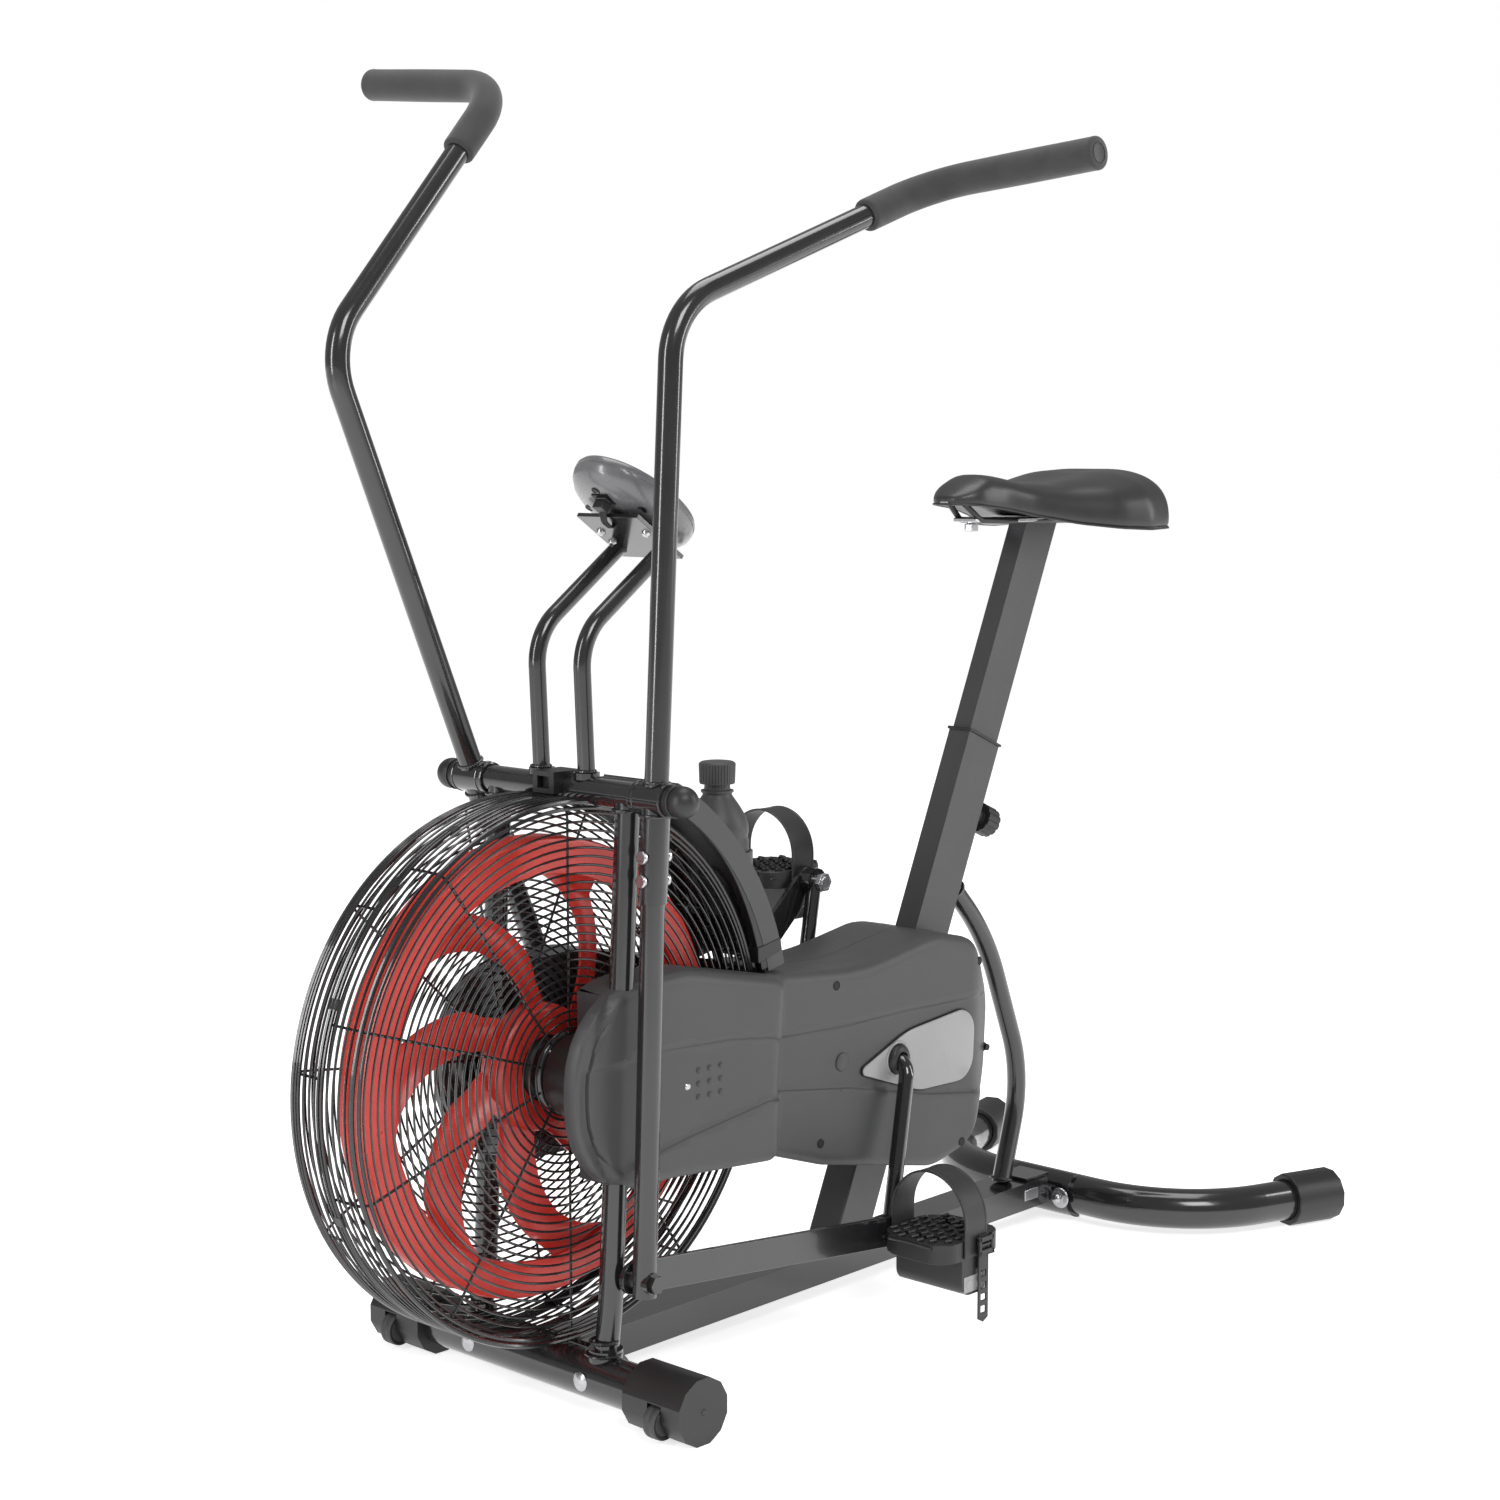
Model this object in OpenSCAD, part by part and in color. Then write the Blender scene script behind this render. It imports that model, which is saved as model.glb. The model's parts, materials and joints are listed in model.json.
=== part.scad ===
// Air bike: a fan bike with swinging handles, drawn as separate pieces.
// Everything is drawn with X = 0 at the fan axle, the seat towards +X and the
// floor at Z = 0. placed() then moves it so that the origin is below the middle.
// "left" is the rider's left, towards -Y.

/* [Fan] */
// Height of the fan axle above the floor
fan_h = 303; // [298:1:308]
// Outer radius of the fan wheel
fan_r = 211; // [200:1:220]
// Outer radius of the wire cage
cage_r = 249; // [244:1:252]
// Half width of the wire cage
cage_half = 46; // [40:1:47]
// Number of fan blades
blade_count = 7; // [6:1:12]
// Number of radial wires on each cage half
spoke_count = 10; // [6:1:16]

/* [Drive] */
// Distance of the crank centre behind the fan axle
crank_x = 434; // [428:1:440]
// Height of the crank centre
crank_h = 246; // [240:1:252]
// Crank length from centre to pedal spindle
crank_r = 166; // [155:1:168]
// Angle of the left crank ahead of straight down
crank_lead = 17; // [10:1:25]
// Connecting rod length between its eyes
rod_len = 370; // [362:1:378]
// Distance of the rod eye and the crank eye from the middle plane
rod_y = 106; // [105.5:0.5:108]
// Radius of the crank pulley
crank_pulley_r = 90; // [70:1:95]
// Radius of the fan pulley
fan_pulley_r = 22.5; // [18:0.5:26]

/* [Handles] */
// Distance of the handle pivots behind the fan axle
pivot_x = 34; // [30:1:38]
// Height of the handle pivots
pivot_h = 556; // [550:1:562]
// Distance of the handles from the middle plane
arm_y = 121; // [120:1:124]
// Diameter of the handle tubes
arm_d = 22; // [19:1:24]
// Diameter of the foam grips
grip_d = 31; // [28:1:34]

/* [Seat] */
// Tilt of the seat tube from upright
seat_tilt = 23.5; // [20:0.5:26]
// Height of the seat tube mouth
seat_tube_h = 553; // [530:1:570]
// Height of the top end of the seat post
seat_post_h = 783; // [740:1:800]

/* [Feet] */
// Height of the stabiliser tubes' middle
foot_h = 30; // [28:1:32]
// Diameter of the stabiliser tubes
foot_d = 43; // [38:1:46]
// Half length of the front stabiliser over its caps
foot_half = 211; // [200:1:230]
// Distance of the rear stabiliser behind the fan axle
rear_x = 780; // [770:1:790]

/* [Hidden] */
$fn = 48;

// Where the fan axle stands in the finished frame
fan_x = -369;
// Radial gap of a turning fit, gap between touching skins, and a small overrun for cuts
run_gap = 0.05;
skin_gap = 0.3;
over = 1;
LEFT = -1;
RIGHT = 1;

// Frame tubes
foot_r = foot_d / 2;
foot_wall = 2;
fork_y = 85.5;
fork_d = 22.5;
fork_pad_x = 2;
fork_pad_r = 16;
crossbar_d = 25;
tab_in = 69;
tab_t = 4;
pin_d = 16;
pin_end = 141;
collar_y = 98;
sleeve_d = 30;
sleeve_from = 101.8;
sleeve_to = 139.8;
beam_w = 46;
beam_t = 30;
beam_front = [24, 28];
beam_rear = [742, 38];
upright_w = 38;
upright_t = 50;
tube_w = 28;
tube_t = 54;
tube_wall = 2;
brace_d = 21;
mast_y = 30;
mast_d = 16;

// Feet
cap_r = foot_h;
cap_len = 71;
cap_sides = 12;
foot_tube_half = foot_half - 43;
wheel_r = 16;
wheel_w = 15;
wheel_x = -22;
wheel_z = 20;
wheel_y = 180;
wheel_pin_r = 3;
bolt_y = 77;
rear_corner = [rear_x, 172];
rear_end = [972, 238];

// Fan
belt_y = 55.9;
belt_w = 6.4;
belt_t = 3;
axle_r = 6;
bearing_r = 16;
hub_r = 30;
collar_r = 58;
wire = 3;

// Drive
shell_r = 22;
shell_half = 34;
crank_d = 16;
eye_r = 14;
crank_eye_from = 91;
crank_eye_to = 103;
rod_t = 5;
rod_h = 30;
spindle_r = 6.5;
pedal_from = 113.5;
pedal_to = 203;
pedal_half = 48;
strap_t = 2;
strap_w = 34;
strap_from = 111;
tail_drop = 74;

// Handles, in each arm's own plane: X rearward, Z up, pivot at the origin
sleeve_stub = 92;
arm_bolt_z = [-51, -72];
arm_bolt_d = 8;
foot_local = [5.6, -433];
arm_bend = [0, 429];
grip_bend = [309, 568];
grip_bend_y = 148;
grip_end = [314, 585];
grip_end_y = 333;

// Housing: side outline [x, z, corner radius] and plan outline [x, half width, radius]
shell_wall = 2.5;
cage_gap_r = 256;
cage_gap_y = 49.5;
side_line = [
    [-43, 386, 84], [100, 391, 90], [250, 359, 120], [385, 347, 300], [500, 366, 90],
    [566, 352, 50], [612, 285, 60], [604, 205, 70], [566, 135, 60], [500, 119, 60],
    [330, 154, 60], [226, 188, 30], [80, 199, 60], [-43, 199, 84]
];
plan_line = [
    [-43, 0, 0], [-43, 92, 8], [-24, 100, 10], [222, 100, 22], [256, 62, 30], [560, 62, 40],
    [612, 42, 24], [612, 0, 0]
];

// ---------- geometry helpers ----------
function unit(v) = v / norm(v);
function matrix(x, y, z, o) = [
    [x[0], y[0], z[0], o[0]], [x[1], y[1], z[1], o[1]], [x[2], y[2], z[2], o[2]], [0, 0, 0, 1]
];
function across(w) = unit(abs(w[2]) < 0.9 ? cross([0, 0, 1], w) : cross([0, 1, 0], w));
function turn(p, i) = acos(unit(p[i] - p[i - 1]) * unit(p[i + 1] - p[i]));
function xz(p, y) = [p[0], y, p[1]];

// Moves a drawing from the fan axle's place to the finished frame
module placed() {
    translate([fan_x, 0, 0]) children();
}

// Round bar from a to b
module bar(a, b, d) {
    w = unit(b - a);
    u = across(w);
    multmatrix(matrix(u, cross(w, u), w, a)) cylinder(d = d, h = norm(b - a));
}

// Cylinder along Y between two distances
module y_disc(x, z, r, from, to) {
    translate([x, max(from, to), z]) rotate([90, 0, 0]) cylinder(r = r, h = abs(to - from));
}

// Round bar through points p, bent to the radii at the points between its ends.
// Each bend is a hair fatter than its straights, which run a little way into it.
module pipe(p, radii, d) {
    last = len(p) - 1;
    lap = 1.5;
    cuts = [for (i = [0:last]) i == 0 || i == last ? 0 : radii[i - 1] * tan(turn(p, i) / 2)];
    for (i = [1:last]) {
        w = unit(p[i] - p[i - 1]);
        bar(p[i - 1] + w * (cuts[i - 1] - (i > 1 ? lap : 0)), p[i] - w * (cuts[i] - (i < last ? lap : 0)), d);
    }
    for (i = [1:last - 1]) {
        r = radii[i - 1];
        u = unit(p[i] - p[i - 1]);
        n = unit(cross(u, p[i + 1] - p[i]));
        middle = p[i] - u * cuts[i] + cross(n, u) * r;
        multmatrix(matrix(cross(u, n), u, n, middle))
            rotate_extrude(angle = turn(p, i)) translate([r, 0]) circle(d = d + lap * lap / r + 0.06);
    }
}

// Hollow tube along the same kind of path, open at both ends
module tube(p, radii, d, wall) {
    last = len(p) - 1;
    grown = [
        for (i = [0:last])
            i == 0 ? p[0] + unit(p[0] - p[1]) * over
            : i == last ? p[last] + unit(p[last] - p[last - 1]) * over : p[i]
    ];
    difference() {
        pipe(p, radii, d);
        pipe(grown, radii, d - 2 * wall);
    }
}

// Points of an outline whose corners [x, y, r] are rounded
function corner(a, b, c, r) =
    let (u = unit(a - b), v = unit(c - b), half = acos(u * v) / 2, mid = b + unit(u + v) * r / sin(half),
         s = b + u * r / tan(half) - mid, way = u[0] * v[1] - u[1] * v[0] > 0 ? -1 : 1,
         from = atan2(s[1], s[0]), steps = 5)
    [for (k = [0:steps]) mid + r * [cos(from + way * k / steps * (180 - 2 * half)),
                                    sin(from + way * k / steps * (180 - 2 * half))]];
function flat2(p) = [p[0], p[1]];
function rounded(p) =
    let (n = len(p))
    [for (i = [0:n - 1]) each p[i][2] == 0 ? [flat2(p[i])]
        : corner(flat2(p[(i + n - 1) % n]), flat2(p[i]), flat2(p[(i + 1) % n]), p[i][2])];

// The same outline, given clockwise, moved inwards by d
function shrunk(p, d) =
    let (n = len(p))
    [for (i = [0:n - 1])
        let (u = unit(flat2(p[i]) - flat2(p[(i + n - 1) % n])), v = unit(flat2(p[(i + 1) % n]) - flat2(p[i])),
             nu = [u[1], -u[0]], nv = [v[1], -v[0]], q = flat2(p[i]) + (nu + nv) * d / (1 + nu * nv),
             bulge = u[0] * v[1] - u[1] * v[0] < 0)
        [q[0], q[1], p[i][2] == 0 ? 0 : max(0.5, p[i][2] + (bulge ? -d : d))]];

// Extrusion of an [x, z] outline between two Y planes
module y_slab(from, to) {
    translate([0, max(from, to), 0]) rotate([90, 0, 0]) linear_extrude(abs(to - from)) children();
}

// ---------- linkage ----------
pivot = [pivot_x, pivot_h];
crank_mid = [crank_x, crank_h];
function crank_pin(side) = crank_mid + side * crank_r * [sin(crank_lead), cos(crank_lead)];
// The forward crossing point of two circles
function meet(a, ra, b, rb) =
    let (d = norm(b - a), u = (b - a) / d, t = (ra * ra - rb * rb + d * d) / (2 * d), h = sqrt(ra * ra - t * t))
    a + u * t + h * [u[1], -u[0]] * (u[1] < 0 ? 1 : -1);
function arm_foot(side) = meet(pivot, norm(foot_local), crank_pin(side), rod_len);
function arm_angle(side) =
    let (v = arm_foot(side) - pivot) atan2(v[0], v[1]) - atan2(foot_local[0], foot_local[1]);
// The drawing of an arm, put at its pivot and turned to rest
module at_pivot(side) {
    translate([pivot_x, 0, pivot_h]) rotate([0, arm_angle(side), 0]) children();
}
seat_slope = tan(seat_tilt);
function seat_axis_x(z) = 424 + (z - 74) * seat_slope;
// The seat tube's own frame: Z along the tube, origin on its axis at height z
module on_seat_axis(z) {
    translate([seat_axis_x(z), 0, z]) rotate([0, seat_tilt, 0]) children();
}

// ---------- frame ----------
module front_stabiliser() {
    placed() color("black") difference() {
        y_disc(0, foot_h, foot_r, -foot_tube_half, foot_tube_half);
        y_disc(0, foot_h, foot_r - foot_wall, -foot_half, foot_half);
    }
}

function rear_path(side) = [
    [rear_x, 0, foot_h - 2], [rear_corner[0], side * rear_corner[1], foot_h - 2],
    [rear_end[0], side * rear_end[1], foot_h - 2]
];
module rear_stabiliser() {
    placed() color("black") tube([rear_path(LEFT)[2], rear_path(LEFT)[1], rear_path(RIGHT)[1],
                                  rear_path(RIGHT)[2]], [150, 150], foot_d + 1, foot_wall);
}

// Twelve-sided cup over the end of a tube: drawn along Z from its mouth
module end_cup(r, len, bore_r, floor_t) {
    difference() {
        rotate(180 / cap_sides) cylinder(r = r / cos(180 / cap_sides), h = len, $fn = cap_sides);
        translate([0, 0, -over]) cylinder(r = bore_r, h = len - floor_t + over);
        cylinder(r = 3, h = len + over);
    }
}

module front_cap(side) {
    placed() color("dimgray") {
        difference() {
            translate([0, side * (foot_half - cap_len), foot_h]) rotate([-90 * side, 0, 0])
                end_cup(cap_r, cap_len, foot_r, 7);
            translate([wheel_x - 20, side * wheel_y - wheel_w / 2 - 1, 0])
                cube([20 + wheel_r + 1, wheel_w + 2, wheel_z + wheel_r + 1]);
        }
        y_disc(wheel_x, wheel_z, wheel_pin_r, side * wheel_y - wheel_w / 2 - 1,
               side * wheel_y + wheel_w / 2 + 1);
    }
}
module front_left_cap() {
    front_cap(LEFT);
}
module front_right_cap() {
    front_cap(RIGHT);
}

module rear_caps() {
    rear_cap_len = 62;
    placed() color("dimgray") for (side = [LEFT, RIGHT]) {
        way = rear_path(side)[2] - rear_path(side)[1];
        translate(rear_path(side)[2] - unit(way) * (rear_cap_len - 6))
            rotate([0, 0, atan2(way[1], way[0])]) rotate([0, 90, 0])
                end_cup(foot_h - 2, rear_cap_len, (foot_d + 1) / 2, 6);
    }
}

// Domed head on one face and a hexagonal nut on the other, along X
module carriage_bolt(x_head, x_nut, y, z) {
    way = sign(x_head - x_nut);
    translate([x_head, y, z]) rotate([0, way * 90, 0])
        rotate_extrude() intersection() {
            translate([0, -12]) circle(r = 15);
            square([12, 4]);
        }
    translate([x_nut, y, z]) rotate([0, -way * 90, 0]) cylinder(r = 8.5, h = 7, $fn = 6);
}
module stabiliser_bolts() {
    placed() color("silver") {
        for (y = [-bolt_y, bolt_y]) carriage_bolt(-foot_r, foot_r + 4, y, foot_h);
        for (y = [-33, 33]) translate([rear_x - foot_r - 4.5, y, foot_h - 2]) rotate([0, -90, 0]) {
            cylinder(r = 8.5, h = 6, $fn = 6);
            translate([0, 0, 6]) sphere(r = 5.5);
        }
    }
}

// Curved plate that hugs a tube of radius r about the Y axis at x, z
module saddle(x, z, r, t, half, from, sweep) {
    translate([x, half, z]) rotate([90, 0, 0]) rotate([0, 0, from])
        rotate_extrude(angle = sweep) translate([r, 0]) square([t, 2 * half]);
}

beam_angle = atan2(beam_rear[1] - beam_front[1], beam_rear[0] - beam_front[0]);
module base_beam() {
    beam_len = norm(beam_rear - beam_front);
    placed() color("black") difference() {
        union() {
            translate([beam_front[0], 0, beam_front[1]]) rotate([0, -beam_angle, 0])
                translate([0, -beam_w / 2, -beam_t / 2]) difference() {
                    cube([beam_len, beam_w, beam_t]);
                    translate([6, tube_wall, tube_wall])
                        cube([beam_len, beam_w - 2 * tube_wall, beam_t - 2 * tube_wall]);
                }
            saddle(0, foot_h, foot_r, 4, 95, -55, 110);
        }
        y_disc(0, foot_h, foot_r, -100, 100);
        for (side = [LEFT, RIGHT])
            translate([fork_pad_x, side * fork_y, foot_h]) cylinder(r = fork_pad_r + skin_gap, h = 40);
    }
}

module rear_bracket() {
    placed() color("black") {
        saddle(rear_x, foot_h - 2, foot_r + 0.5, 4, 40, 110, 160);
        translate([beam_rear[0] + 0.5, -beam_w / 2, beam_rear[1] - 14]) cube([14, beam_w, 16]);
        translate([beam_rear[0] - 34, -20, beam_rear[1] + beam_t / 2]) cube([40, 40, 3]);
    }
}

function fork_path(y) = [[0, y, foot_h], [9, y, 95], [pivot_x, y, pivot_h]];
fork_radii = [300];
module fork(side) {
    tab_y = side > 0 ? tab_in : -tab_in - tab_t;
    placed() color("black") difference() {
        union() {
            pipe(fork_path(side * fork_y), fork_radii, fork_d);
            translate([-9, tab_y, fan_h - 16]) cube([31, tab_t, 32]);
            translate([fork_pad_x, side * fork_y, foot_h + foot_r - 6]) cylinder(r = fork_pad_r, h = 12);
        }
        y_disc(0, foot_h, foot_r, -foot_half, foot_half);
        y_disc(pivot_x, pivot_h, crossbar_d / 2, -foot_half, foot_half);
        y_disc(0, fan_h, axle_r + 0.2, -foot_half, foot_half);
    }
}
module left_fork() {
    fork(LEFT);
}
module right_fork() {
    fork(RIGHT);
}

module crossbar() {
    placed() color("black") {
        y_disc(pivot_x, pivot_h, crossbar_d / 2, -collar_y, collar_y);
        y_disc(pivot_x, pivot_h, pin_d / 2, -pin_end, pin_end);
        for (side = [LEFT, RIGHT])
            y_disc(pivot_x, pivot_h, sleeve_d / 2, side * collar_y, side * (sleeve_from - skin_gap));
    }
}

module pivot_caps() {
    placed() color("dimgray") for (side = [LEFT, RIGHT]) difference() {
        union() {
            translate([pivot_x, side * 154, pivot_h]) sphere(r = 14.5);
            y_disc(pivot_x, pivot_h, 13.5, side * (sleeve_to + skin_gap), side * 150);
        }
        y_disc(pivot_x, pivot_h, pin_d / 2, 0, side * pin_end);
    }
}

// Upright box tube along the seat axis between two heights
module seat_axis_tube(from, to, w, t, wall) {
    len = (to - from) / cos(seat_tilt);
    on_seat_axis(from) difference() {
        translate([-t / 2, -w / 2, 0]) cube([t, w, len]);
        translate([wall - t / 2, wall - w / 2, -over])
            cube([t - 2 * wall, w - 2 * wall, len + 2 * over]);
    }
}

module upright() {
    placed() color("dimgray") difference() {
        seat_axis_tube(20, 200, upright_w, upright_t, tube_wall);
        translate([beam_front[0], -50, beam_front[1]]) rotate([0, -beam_angle, 0])
            translate([0, 0, -100]) cube([800, 100, 100 + beam_t / 2 + 0.02]);
    }
}

module seat_tube() {
    placed() color("dimgray") difference() {
        seat_axis_tube(200, seat_tube_h, tube_w, tube_t, tube_wall);
        translate([knob_at()[0], 0, knob_at()[1]]) rotate([0, 90 + seat_tilt, 0])
            translate([0, 0, -10]) cylinder(r = 7, h = 20);
    }
}

module post_bush() {
    len = 18;
    placed() color("black") on_seat_axis(seat_tube_h) difference() {
        translate([-tube_t / 2 - 2, -tube_w / 2 - 2, 0]) cube([tube_t + 4, tube_w + 4, 3]);
        translate([-post_t / 2 - skin_gap, -post_w / 2 - skin_gap, -len])
            cube([post_t + 2 * skin_gap, post_w + 2 * skin_gap, 2 * len]);
    }
}

module rear_brace() {
    placed() color("black") difference() {
        pipe([[686, 0, 48], [722, 0, 168], [655, 0, 335], [590, 0, 402]], [150, 260], brace_d);
        on_seat_axis(300) translate([-tube_t / 2, -20, -100]) cube([tube_t, 40, 400]);
        translate([600, -30, 0]) cube([160, 60, beam_rear[1] + beam_t / 2 + 3]);
    }
}

module crank_shell() {
    placed() color("black") {
        difference() {
            union() {
                y_disc(crank_x, crank_h, shell_r, -shell_half, shell_half);
                translate([crank_x, -9, crank_h - 22]) cube([60, 18, 44]);
            }
            y_disc(crank_x, crank_h, bearing_r, -shell_half - over, shell_half + over);
            on_seat_axis(200) translate([-tube_t / 2, -20, -100]) cube([tube_t + 30, 40, 300]);
        }
    }
}

// Ball bearing drawn as one ring
module bearing(x, z, inner_r, outer_r, from, to) {
    difference() {
        y_disc(x, z, outer_r, from, to);
        y_disc(x, z, inner_r, from - over * sign(to - from), to + over * sign(to - from));
    }
}
module bearings() {
    placed() color("silver") for (side = [LEFT, RIGHT]) {
        bearing(crank_x, crank_h, crank_d / 2 + run_gap, bearing_r, side * (shell_half - 9), side * shell_half);
        bearing(0, fan_h, axle_r, bearing_r - run_gap, side * 18, side * 26);
    }
}

// ---------- fan and cage ----------
module cage(side) {
    face_y = side * (cage_half - wire / 2);
    rings = 14;
    plate_r = 42;
    placed() color("black") difference() {
        union() {
        for (k = [0:rings - 1]) {
            r = plate_r + k * (cage_r - plate_r - 6) / (rings - 1);
            translate([0, face_y + wire / 2, fan_h]) rotate([90, 0, 0])
                rotate_extrude() translate([r, 0]) square([wire, wire]);
        }
        for (k = [0:3])
            translate([0, side * (6 + k * 11) + wire / 2, fan_h]) rotate([90, 0, 0])
                rotate_extrude() translate([cage_r - wire, 0]) square([wire, wire]);
        translate([0, side * (cage_half - 2.5) + 2.5, fan_h]) rotate([90, 0, 0]) difference() {
            cylinder(r = plate_r, h = 4);
            translate([0, 0, -over]) cylinder(r = 28, h = 6);
        }
        for (k = [0:spoke_count - 1])
            translate([0, 0, fan_h]) rotate([0, (k + 0.5) * 360 / spoke_count, 0]) {
                translate([plate_r - 4, side * (cage_half - 3) - 1.5, -1.5])
                    cube([cage_r - wire - plate_r + 6, 3, 3]);
                translate([cage_r - wire - 1.5, side > 0 ? 4 : -cage_half + 1, -1.5])
                    cube([3, cage_half - 5, 3]);
            }
        }
        y_disc(pivot_x, pivot_h, crossbar_d / 2 + skin_gap, -60, 60);
    }
}
module left_cage() {
    cage(LEFT);
}
module right_cage() {
    cage(RIGHT);
}

module fan_axle() {
    placed() color("silver") {
        y_disc(0, fan_h, axle_r, -75.5, 75.5);
        for (side = [LEFT, RIGHT]) difference() {
            translate([0, side * (tab_in - 3.6), fan_h]) rotate([90, 0, 0])
                cylinder(r = 10, h = 7, center = true, $fn = 6);
            y_disc(0, fan_h, axle_r, -90, 90);
        }
    }
}

module fan_wheel() {
    y_from = -13;
    y_to = 22;
    band = 34;
    placed() color("firebrick") difference() {
        union() {
        y_disc(0, fan_h, collar_r, -12.5, 16);
        translate([0, y_to, fan_h]) rotate([90, 0, 0]) rotate_extrude() {
            translate([fan_r - band, y_to - y_from - 4]) square([band, 4]);
            translate([fan_r - 4, 0]) square([4, y_to - y_from]);
        }
        for (k = [0:blade_count - 1])
            translate([0, y_to, fan_h]) rotate([90, 0, 0]) rotate(k * 360 / blade_count)
                translate([110, -62]) rotate(28) rotate_extrude(angle = 118)
                    translate([84, 4]) square([4, y_to - y_from - 6]);
        }
        y_disc(0, fan_h, hub_r, -40, 40);
    }
}

module fan_hub() {
    boss_r = 14;
    placed() color("black") difference() {
        union() {
            y_disc(0, fan_h, hub_r, -12, 24);
            y_disc(0, fan_h, 24, -28, 28);
            y_disc(0, fan_h, boss_r, 28, belt_y + 5);
            y_disc(0, fan_h, fan_pulley_r, belt_y - belt_w / 2, belt_y + belt_w / 2);
            for (y = [belt_y - belt_w / 2 - 1.4, belt_y + belt_w / 2 + 0.2])
                y_disc(0, fan_h, fan_pulley_r + 3, y, y + 1.2);
        }
        y_disc(0, fan_h, axle_r + 2, -60, 70);
        for (side = [LEFT, RIGHT]) y_disc(0, fan_h, bearing_r, side * 17, side * 27);
    }
}

module drive_belt() {
    gap = 0.3;
    d = norm([crank_x, crank_h - fan_h]);
    lean = atan2(crank_h - fan_h, crank_x);
    spread = 180 - acos((crank_pulley_r - fan_pulley_r) / d);
    big = crank_pulley_r + gap;
    small = fan_pulley_r + gap;
    placed() color("dimgray") translate([0, belt_y + belt_w / 2 - 0.2, fan_h]) rotate([90, 0, 0])
        rotate([0, 0, lean]) linear_extrude(belt_w - 0.4) difference() {
            belt_loop(d, big + belt_t, small + belt_t, spread);
            belt_loop(d, big, small, spread);
        }
}
// Outline round two wheels at distance d, the small one at the origin
module belt_loop(d, big, small, spread) {
    steps = 24;
    polygon(concat(
        [for (k = [0:steps]) small * [cos(spread + k * (360 - 2 * spread) / steps),
                                      sin(spread + k * (360 - 2 * spread) / steps)]],
        [for (k = [0:steps]) [d, 0] + big * [cos(k * 2 * spread / steps - spread),
                                             sin(k * 2 * spread / steps - spread)]]
    ));
}

// ---------- housing ----------
module housing_block(d) {
    intersection() {
        y_slab(-130, 0) polygon(rounded(shrunk(side_line, d)));
        linear_extrude(600) mirror([0, 1, 0]) polygon(rounded(concat(
            [for (p = shrunk(plan_line, d)) p[1] < 5 ? [p[0], 0, 0] : p])));
    }
}
module cage_zone(d) {
    y_disc(0, fan_h, cage_gap_r + d, -cage_gap_y - d, over);
}
module housing(side) {
    placed() color("dimgray") mirror([0, side > 0 ? 1 : 0, 0]) difference() {
        housing_block(0);
        difference() {
            housing_block(shell_wall);
            cage_zone(shell_wall);
        }
        cage_zone(0);
        y_disc(0, fan_h, 34, -60, 0);
        y_disc(crank_x, crank_h, 14, -70, 0);
        seat_axis_hole(upright_w, upright_t, 60, 200);
        seat_axis_hole(tube_w, tube_t, 200, 420);
        pipe(fork_path(-fork_y), fork_radii, fork_d + 1);
        for (p = screw_places) y_disc(p[0], p[1], screw_r, -40, -70);
    }
}
module seat_axis_hole(w, t, from, to) {
    on_seat_axis(from) translate([-t / 2 - 1, -w / 2 - 1, 0])
        cube([t + 2, w + 2, (to - from) / cos(seat_tilt)]);
}
module left_housing() {
    housing(LEFT);
}
module right_housing() {
    housing(RIGHT);
}

badge_line = [[372, 241, 5], [450, 272, 120], [560, 283, 24], [556, 205, 26], [470, 207, 60]];
module crank_badges() {
    placed() color("silver") for (side = [LEFT, RIGHT]) difference() {
        y_slab(side * 62, side * 64) polygon(rounded(badge_line));
        y_disc(crank_x, crank_h, 14, -70, 70);
    }
}

// Screws: x, z and the skin's distance from the middle plane there
screw_places = [[341, 335, 62], [569, 327, 60.3], [599, 228, 48.4], [540, 139, 62], [318, 180, 62]];
screw_r = 3.5;
module housing_screws() {
    placed() color("black") for (side = [LEFT, RIGHT], p = screw_places)
        y_disc(p[0], p[1], screw_r, side * (p[2] - shell_wall), side * (p[2] + 0.4));
}

guard_in = 262;
guard_out = 285;
guard_half = 50;
bottle_at = [263, 26];
bottle_r = 31;
pocket_floor = 414;
pocket_top = 470;
module wind_guard() {
    from = 12.6;
    sweep = 49.5;
    placed() color("dimgray") {
        difference() {
            translate([0, guard_half, fan_h]) rotate([90, 0, 0]) rotate([0, 0, from]) {
                rotate_extrude(angle = sweep) {
                    translate([guard_out - 3, 0]) square([3, 2 * guard_half]);
                    translate([guard_in, 0]) square([guard_out - guard_in, 3]);
                    translate([guard_in, 2 * guard_half - 3]) square([guard_out - guard_in, 3]);
                }
            }
            translate([bottle_at[0], bottle_at[1], pocket_floor]) cylinder(r = bottle_r + 1, h = 300);
            housing_block(0);
            mirror([0, 1, 0]) housing_block(0);
        }
        translate([bottle_at[0], bottle_at[1], pocket_floor - 3]) difference() {
            cylinder(r = bottle_r + 4, h = pocket_top - pocket_floor + 3);
            translate([0, 0, 3]) cylinder(r = bottle_r + 1, h = 100);
        }
        translate([pivot_x + crossbar_d / 2, -guard_half, pivot_h - 6]) cube([86, 2 * guard_half, 3]);
    }
}

// ---------- bottle ----------
module bottle() {
    placed() color("dimgray") translate([bottle_at[0], bottle_at[1], pocket_floor]) rotate_extrude()
        polygon([[0, 0], [bottle_r - 3, 0], [bottle_r, 4], [bottle_r, 84], [bottle_r - 4, 98],
                 [14, 112], [12.5, 116], [12.5, 122], [0, 122]]);
}
module bottle_cap() {
    placed() color("black") translate([bottle_at[0], bottle_at[1], pocket_floor + 122])
        cylinder(r = 18, h = 22);
}

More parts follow.
